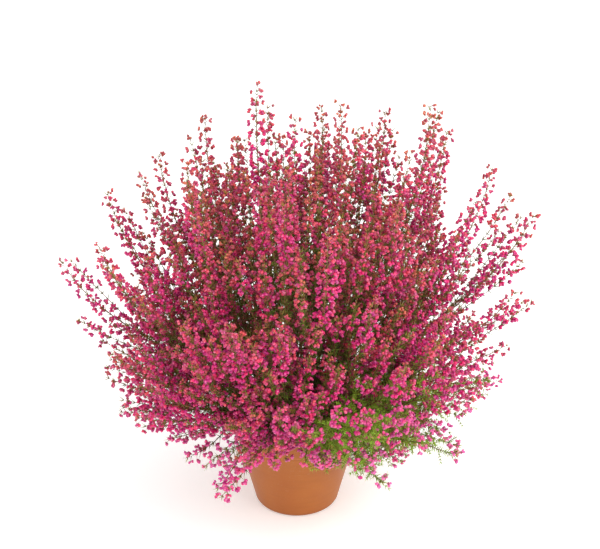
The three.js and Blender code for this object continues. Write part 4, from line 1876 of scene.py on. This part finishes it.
@dataclass
class Pot:
    """The pot, with its sizes in millimetres."""

    material: Material
    height: float = 97
    base_radius: float = 38.5
    taper: float = 0.25
    band_height: float = 19
    rim_radius: float = 61
    step: float = 0.8
    wall: float = 1.8
    edge: float = 4
    floor: float = 2.4
    drain_holes: int = 5
    drain_radius: float = 4
    drain_circle: float = 20
    drain_sides: int = 24
    drill_length: float = 20
    base_rings: Outline = ((0.0, 0.0), (0.02, 0.4))  # against the ground and the foot of the rounded edge
    edge_turns: tuple[float, ...] = (25, 50, 75, 90)  # of the rounded edge, in degrees
    wall_shares: tuple[float, ...] = (0.25, 0.5, 0.75)  # ways up from there to the band
    groove: Outline = ((-3.0, 0.0), (-2.75, -0.22), (-2.5, 0.0))  # against the band's foot and the wall
    band_step: Outline = ((-0.15, 0.0), (0.1, 0.75), (0.5, 1.0))  # the same, radius as a share of the step
    band_shares: tuple[float, ...] = (0.35, 0.7, 0.93)  # ways up the band
    lip: Outline = ((-0.7, 0.0), (-0.2, -0.25), (0.0, -0.8))  # against the top and the rim's outside
    lip_inside: Outline = ((-0.01, 1.0), (-0.25, 0.45), (-0.9, 0.3))  # against the top and its inside
    bend: Span = (2, -1)  # heights against the band's foot between which the inside narrows
    narrowing: float = 0.8  # of the inside from the rim down to the bend
    floor_edge: float = 3
    sharp_angle: float = 34
    sides: int = 96

    def wall_at(self, height: float) -> float:
        """Outer radius of the tapered wall."""
        return self.base_radius + self.taper * height

    def profile(self) -> Rings:
        """Height and radius of each ring, from under the base over the rim to the floor inside."""
        band = self.height - self.band_height
        inner = self.rim_radius - self.wall - self.step
        rings = [(up, self.base_radius - self.edge + out) for up, out in self.base_rings]
        for turn in self.edge_turns:
            angle = math.radians(turn)
            out = self.wall_at(self.edge) - self.edge * (1 - math.sin(angle))
            rings.append((self.edge * (1 - math.cos(angle)), out))
        for share in self.wall_shares:
            height = mix(self.edge, band, share)
            rings.append((height, self.wall_at(height)))
        rings += [(band + up, self.wall_at(band + up) + out) for up, out in self.groove]
        rings += [(band + up, self.wall_at(band) + self.step * out) for up, out in self.band_step]
        low, foot = rings[-1]
        for share in self.band_shares:
            rings.append((mix(low, self.height - 1, share), mix(foot, self.rim_radius, share)))
        rings += [(self.height + up, self.rim_radius + out) for up, out in self.lip]
        rings += [(self.height + up, inner + out) for up, out in self.lip_inside]
        return rings + [
            (band + self.bend[0], inner - self.narrowing),
            (band + self.bend[1], self.wall_at(band) - self.wall),
            (self.edge, self.wall_at(0) - self.wall),
            (self.floor, self.wall_at(0) - self.wall - self.floor_edge),
        ]

    def build(self) -> Piece:
        """Turns the pot and drills its drain holes."""
        piece = turned("pot_shell", self.profile(), self.sides)
        for i in range(self.drain_holes):
            turn = 2 * math.pi * i / self.drain_holes
            centre = (self.drain_circle * math.cos(turn) * MM, self.drain_circle * math.sin(turn) * MM, 0)
            clear_selection()
            bpy.ops.mesh.primitive_cylinder_add(
                vertices=self.drain_sides,
                radius=self.drain_radius * MM,
                depth=self.drill_length * MM,
                location=centre,
            )
            drill = bpy.context.object
            cut = piece.modifiers.new("drain", "BOOLEAN")
            cut.operation = "DIFFERENCE"
            cut.solver = "EXACT"
            cut.object = drill
            pick(piece)
            bpy.ops.object.modifier_apply(modifier=cut.name)
            bpy.data.objects.remove(drill)
        smooth_by_angle(piece, self.sharp_angle)
        piece.data.materials.append(self.material)
        return piece


@dataclass
class Soil:
    """The root ball, level with the frame's soil, with a crumbly top. Sizes are in millimetres."""

    material: Material
    stencils: Stencils
    top: float = 86
    gap: float = 0.9
    seed: int = 31
    waves: int = 14
    wave_lengths: Span = (4, 22)
    wave_height: float = 0.35
    grit: float = 0.25
    lumps: float = 0.9
    sunk: float = 0.8
    lump_range: Span = (-3, 0.9)
    crumb_seed: int = 32
    crumbs: int = 520
    crumb_size: float = 1.5
    crumb_range: Span = (0.5, 1.3)
    crumb_flatness: float = 0.8
    crumb_depth: float = 0.6
    crumb_edges: float = 0.25
    edge_seed: int = 4
    crumb_inset: float = 3
    over_floor: float = 0.4
    foot_inset: float = 4.2
    over_edge: float = 0.5
    bend: Span = (-2, 2.5)  # heights against the foot of the pot's band between which it widens
    shoulder: Outline = ((-1.5, 0.0), (-0.4, -1.2))  # rings against its top and its side
    flat_inset: float = 1.8
    first_ring: float = 0.2  # of the top, in ring widths from where it is flat
    sharp_angle: float = 60
    sides: int = 72
    top_rings: int = 22

    def build(self, pot: Pot) -> list[Piece]:
        """Makes the root ball and the crumbs on it.

        Args:
            pot: the pot that it fills.

        Returns:
            Both pieces.
        """
        gap = self.gap
        band = pot.height - pot.band_height
        top_radius = pot.rim_radius - pot.wall - pot.step - pot.narrowing - gap
        low, high = (band + up for up in self.bend)
        rings = [
            (pot.floor + self.over_floor, pot.wall_at(0) - pot.wall - self.foot_inset),
            (pot.edge + self.over_edge, pot.wall_at(0) - pot.wall - gap),
            (low, pot.wall_at(low) - pot.wall - gap),
            (high, top_radius),
        ]
        rings += [(self.top + up, top_radius + out) for up, out in self.shoulder]
        for step in range(self.top_rings):
            share = 1 - (step + self.first_ring) / self.top_rings
            rings.append((self.top, (top_radius - self.flat_inset) * share))
        ball = turned("soil_ball", rings, self.sides)
        self.roughen(ball)
        smooth_by_angle(ball, self.sharp_angle)
        ball.data.materials.append(self.material)
        return [ball, self.strew(top_radius - self.crumb_inset)]

    def roughen(self, piece: Piece) -> None:
        """Moves the top's points up and down by soft random lumps."""
        chance = np.random.default_rng(self.seed)
        mesh = piece.data
        places = np.empty(len(mesh.vertices) * 3)
        mesh.vertices.foreach_get("co", places)
        places = places.reshape(-1, 3)
        on_top = places[:, 2] > (self.top - 0.2) * MM
        x, y = places[:, 0] / MM, places[:, 1] / MM
        rise = np.zeros(len(places))
        for _ in range(self.waves):
            bearing, long = chance.uniform(0, 2 * math.pi), chance.uniform(*self.wave_lengths)
            phase = (x * math.cos(bearing) + y * math.sin(bearing)) * 2 * math.pi / long
            rise += np.sin(phase + chance.uniform(0, ANY_TURN)) * self.wave_height
        rise += chance.normal(0, self.grit, len(places))
        rise = np.clip(rise * self.lumps - self.sunk, *self.lump_range)
        places[:, 2] += np.where(on_top, rise, 0) * MM
        mesh.vertices.foreach_set("co", places.ravel())
        mesh.update()

    def strew(self, reach: float) -> Piece:
        """Crumbs of peat over the top, as far out as reach."""
        clear_selection()
        bpy.ops.mesh.primitive_ico_sphere_add(subdivisions=1, radius=1)
        crumb = bpy.context.object
        bpy.ops.object.mode_set(mode="EDIT")
        bpy.ops.mesh.select_all(action="SELECT")
        bpy.ops.transform.vertex_random(offset=self.crumb_edges, seed=self.edge_seed)
        bpy.ops.object.mode_set(mode="OBJECT")
        stencil = Stencil.taken_from(crumb)
        chance = np.random.default_rng(self.crumb_seed)
        radius = reach * np.sqrt(chance.random(self.crumbs))
        turn = chance.uniform(0, 2 * math.pi, self.crumbs)
        height = np.full(self.crumbs, self.top - self.crumb_depth)
        origins = np.column_stack([radius * np.cos(turn), radius * np.sin(turn), height])
        size = self.crumb_size * chance.uniform(*self.crumb_range, (self.crumbs, 3))
        size = size * [1, 1, self.crumb_flatness]
        axes = unit(chance.normal(0, 1, (self.crumbs, 3)))
        places = stand(stencil, origins, axes, size)
        basket = Basket([self.material])
        tones = chance.random(self.crumbs)
        growth = ShootDresser.growth_of(stencil, tones, tones, tones)
        basket.put(stencil, places, growth, 0, (0.0, 0.0, 1.0, 1.0))
        return basket.tip_out("soil_crumbs")


def turned(name: str, profile: Rings, sides: int) -> Piece:
    """Closed turned body.

    Args:
        name: the piece's name.
        profile: height and radius of each ring in millimetres. The first and last rings are filled.
        sides: corners of each ring.

    Returns:
        The piece, in metres.
    """
    piece = raise_rings(sides, [(height * MM, radius * MM) for height, radius in profile])
    piece.name = piece.data.name = name
    bpy.ops.object.mode_set(mode="EDIT")
    face_outwards()
    return piece


def smooth_by_angle(piece: Piece, degrees: float) -> None:
    """Smooth shading, with edges sharper than an angle kept."""
    pick(piece)
    bpy.ops.object.shade_smooth_by_angle(angle=math.radians(degrees))


def settle(piece: Piece, slot: str, *nodes: str) -> None:
    """Attaches a finished piece to the body, hides the frame's nodes that it replaces, and reports its
    triangles.

    Args:
        piece: the piece.
        slot: not used.
        nodes: the frame's nodes that it replaces, if any.
    """
    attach(piece, BODY)
    if nodes:
        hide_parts(*nodes)
    faces = sum(len(face.vertices) - 2 for face in piece.data.polygons)
    log.info("%s: %d triangles", piece.name, faces)


class Quarter(Enum):
    """Quarters of the bush, each with the bearing of its middle in degrees."""

    FRONT = 270
    RIGHT = 0
    BACK = 90
    LEFT = 180

    def holds(self, shoot: Shoot) -> bool:
        """Whether a shoot leans towards this quarter."""
        return (shoot.toward - self.value + 45) % 360 < 90


@dataclass
class Heath:
    """The whole plant: its shoots in the order of the frame's nodes, and the inner shoots."""

    effects: SharedEffects
    stencils: Stencils
    seed: int = 7000
    inner_seed: int = 7100

    def build(self) -> None:
        """Dresses every shoot of the plan."""
        dresser = ShootDresser(
            self.stencils,
            PetalFinish("petal", self.effects).make(),
            NeedleFinish("needle", self.effects).make(),
            BarkFinish("bark", self.effects).make(),
        )
        plan = BushPlan()
        shoots = plan.lay_out()
        inner = Infill(plan, CAD_BOX).plant(shoots)
        sides = sum(len(shoot.sides) for shoot in shoots + inner)
        log.info("%d shoots, %d inner shoots, %d side stems", len(shoots), len(inner), sides)
        for number, shoot in enumerate(shoots, 1):
            node = f"shoot_{number:02d}"
            greens, bells = dresser.dress([shoot], node, self.seed + number)
            settle(greens, "leaf", node)
            settle(bells, "bloom", node)
        for number, quarter in enumerate(Quarter):
            some = [shoot for shoot in inner if quarter.holds(shoot)]
            name = "inner_" + quarter.name.lower()
            greens, bells = dresser.dress(some, name, self.inner_seed + number)
            settle(greens, "leaf")
            settle(bells, "bloom")


@dataclass(frozen=True)
class SoftBox:
    """Square lamp that faces the bush: its name, middle, side and power in watts."""

    name: str
    place: Triple
    side: float
    power: float
    colour: Triple = (1.0, 0.97, 0.94)
    faces: float = 0.2  # height of what it faces

    def hang(self) -> None:
        """Adds the lamp."""
        lamp = bpy.data.lights.new(self.name, "AREA")
        lamp.shape = "SQUARE"
        lamp.size = self.side
        lamp.energy = self.power
        lamp.color = self.colour
        box = bpy.data.objects.new(self.name, lamp)
        bpy.context.scene.collection.objects.link(box)
        x, y, z = self.place
        box.location = self.place
        box.rotation_euler = (math.atan2(math.hypot(x, y), z - self.faces), 0, math.atan2(x, -y))


@dataclass
class Studio:
    """Pale floor, soft light and the camera, in metres."""

    floor_half: float = 6.0
    floor_colour: Colour = (0.90, 0.912, 0.908, 1)
    patch_colour: Colour = (0.91, 0.90, 0.895, 1)
    patch_scale: float = 2.0
    patch_detail: float = 1.0
    patch_ramp: Ramp = ((0.3, 0.7), (0, 0.12))
    floor_glow: float = 0.27
    glow_colour: Colour = (1.0, 0.99, 0.97, 1)
    sky_colour: Colour = (1.0, 0.995, 0.985, 1)
    sky: float = 1.05
    boxes: tuple[SoftBox, ...] = (
        SoftBox("key_box", (1.4, -1.0, 1.7), 1.3, 36.0),
        SoftBox("fill_box", (-1.5, -0.9, 1.3), 1.6, 6.48),
    )
    eye: Triple = (0.003, -1.140, 0.810)
    tilt: float = 27.0
    lens: float = 87.0
    film: float = 36.0
    shift: float = 4 / 600  # of the camera upwards, as a share of the picture's width
    nearest: float = 0.05

    def build(self) -> None:
        """Sets up all three."""
        self.lay_floor()
        self.light()
        self.aim()
        bpy.context.scene.view_settings.view_transform = "Standard"

    def lay_floor(self) -> None:
        """Plain pale floor with a broad slow unevenness."""
        clear_selection()
        bpy.ops.mesh.primitive_plane_add(size=2 * self.floor_half, location=(0, 0, 0))
        floor = bpy.context.object
        floor.name = "studio_floor"
        material, shader = principled("floor", roughness=0.8, specular=0.1)
        graph = Graph(material.node_tree)
        patches = graph.noise(graph.object_place(), self.patch_scale, self.patch_detail)
        patches = graph.ramp(patches, *self.patch_ramp)
        colour = graph.blend(patches, self.floor_colour, self.patch_colour)
        graph.join(colour, shader.inputs["Base Color"])
        shader.inputs["Emission Color"].default_value = self.glow_colour
        shader.inputs["Emission Strength"].default_value = self.floor_glow
        floor.data.materials.append(material)

    def light(self) -> None:
        """Even white surroundings and the soft boxes, the stronger from the right."""
        world = bpy.data.worlds.new("studio")
        world.use_nodes = True
        bpy.context.scene.world = world
        background = world.node_tree.nodes["Background"]
        background.inputs["Color"].default_value = self.sky_colour
        background.inputs["Strength"].default_value = self.sky
        for box in self.boxes:
            box.hang()

    def aim(self) -> None:
        """Camera that looks down on the bush from the front."""
        lens = bpy.data.cameras.new("camera")
        lens.sensor_width = self.film
        lens.lens = self.lens
        lens.shift_y = self.shift
        lens.clip_start = self.nearest
        camera = bpy.data.objects.new("camera", lens)
        bpy.context.scene.collection.objects.link(camera)
        camera.location = self.eye
        camera.rotation_euler = (math.radians(90 - self.tilt), 0, 0)
        bpy.context.scene.camera = camera


def main() -> None:
    """Builds the studio and the pieces in order."""
    logging.basicConfig(level=logging.INFO, format="%(message)s")
    Studio().build()
    effects = SharedEffects()
    stencils = Stencils()
    pot = Pot(PotFinish("pot plastic", effects).make())
    settle(pot.build(), "pot", "pot")
    for piece in Soil(PeatFinish("peat", effects).make(), stencils).build(pot):
        settle(piece, "soil", "soil")
    Heath(effects, stencils).build()
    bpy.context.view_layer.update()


if __name__ == "__main__":
    main()
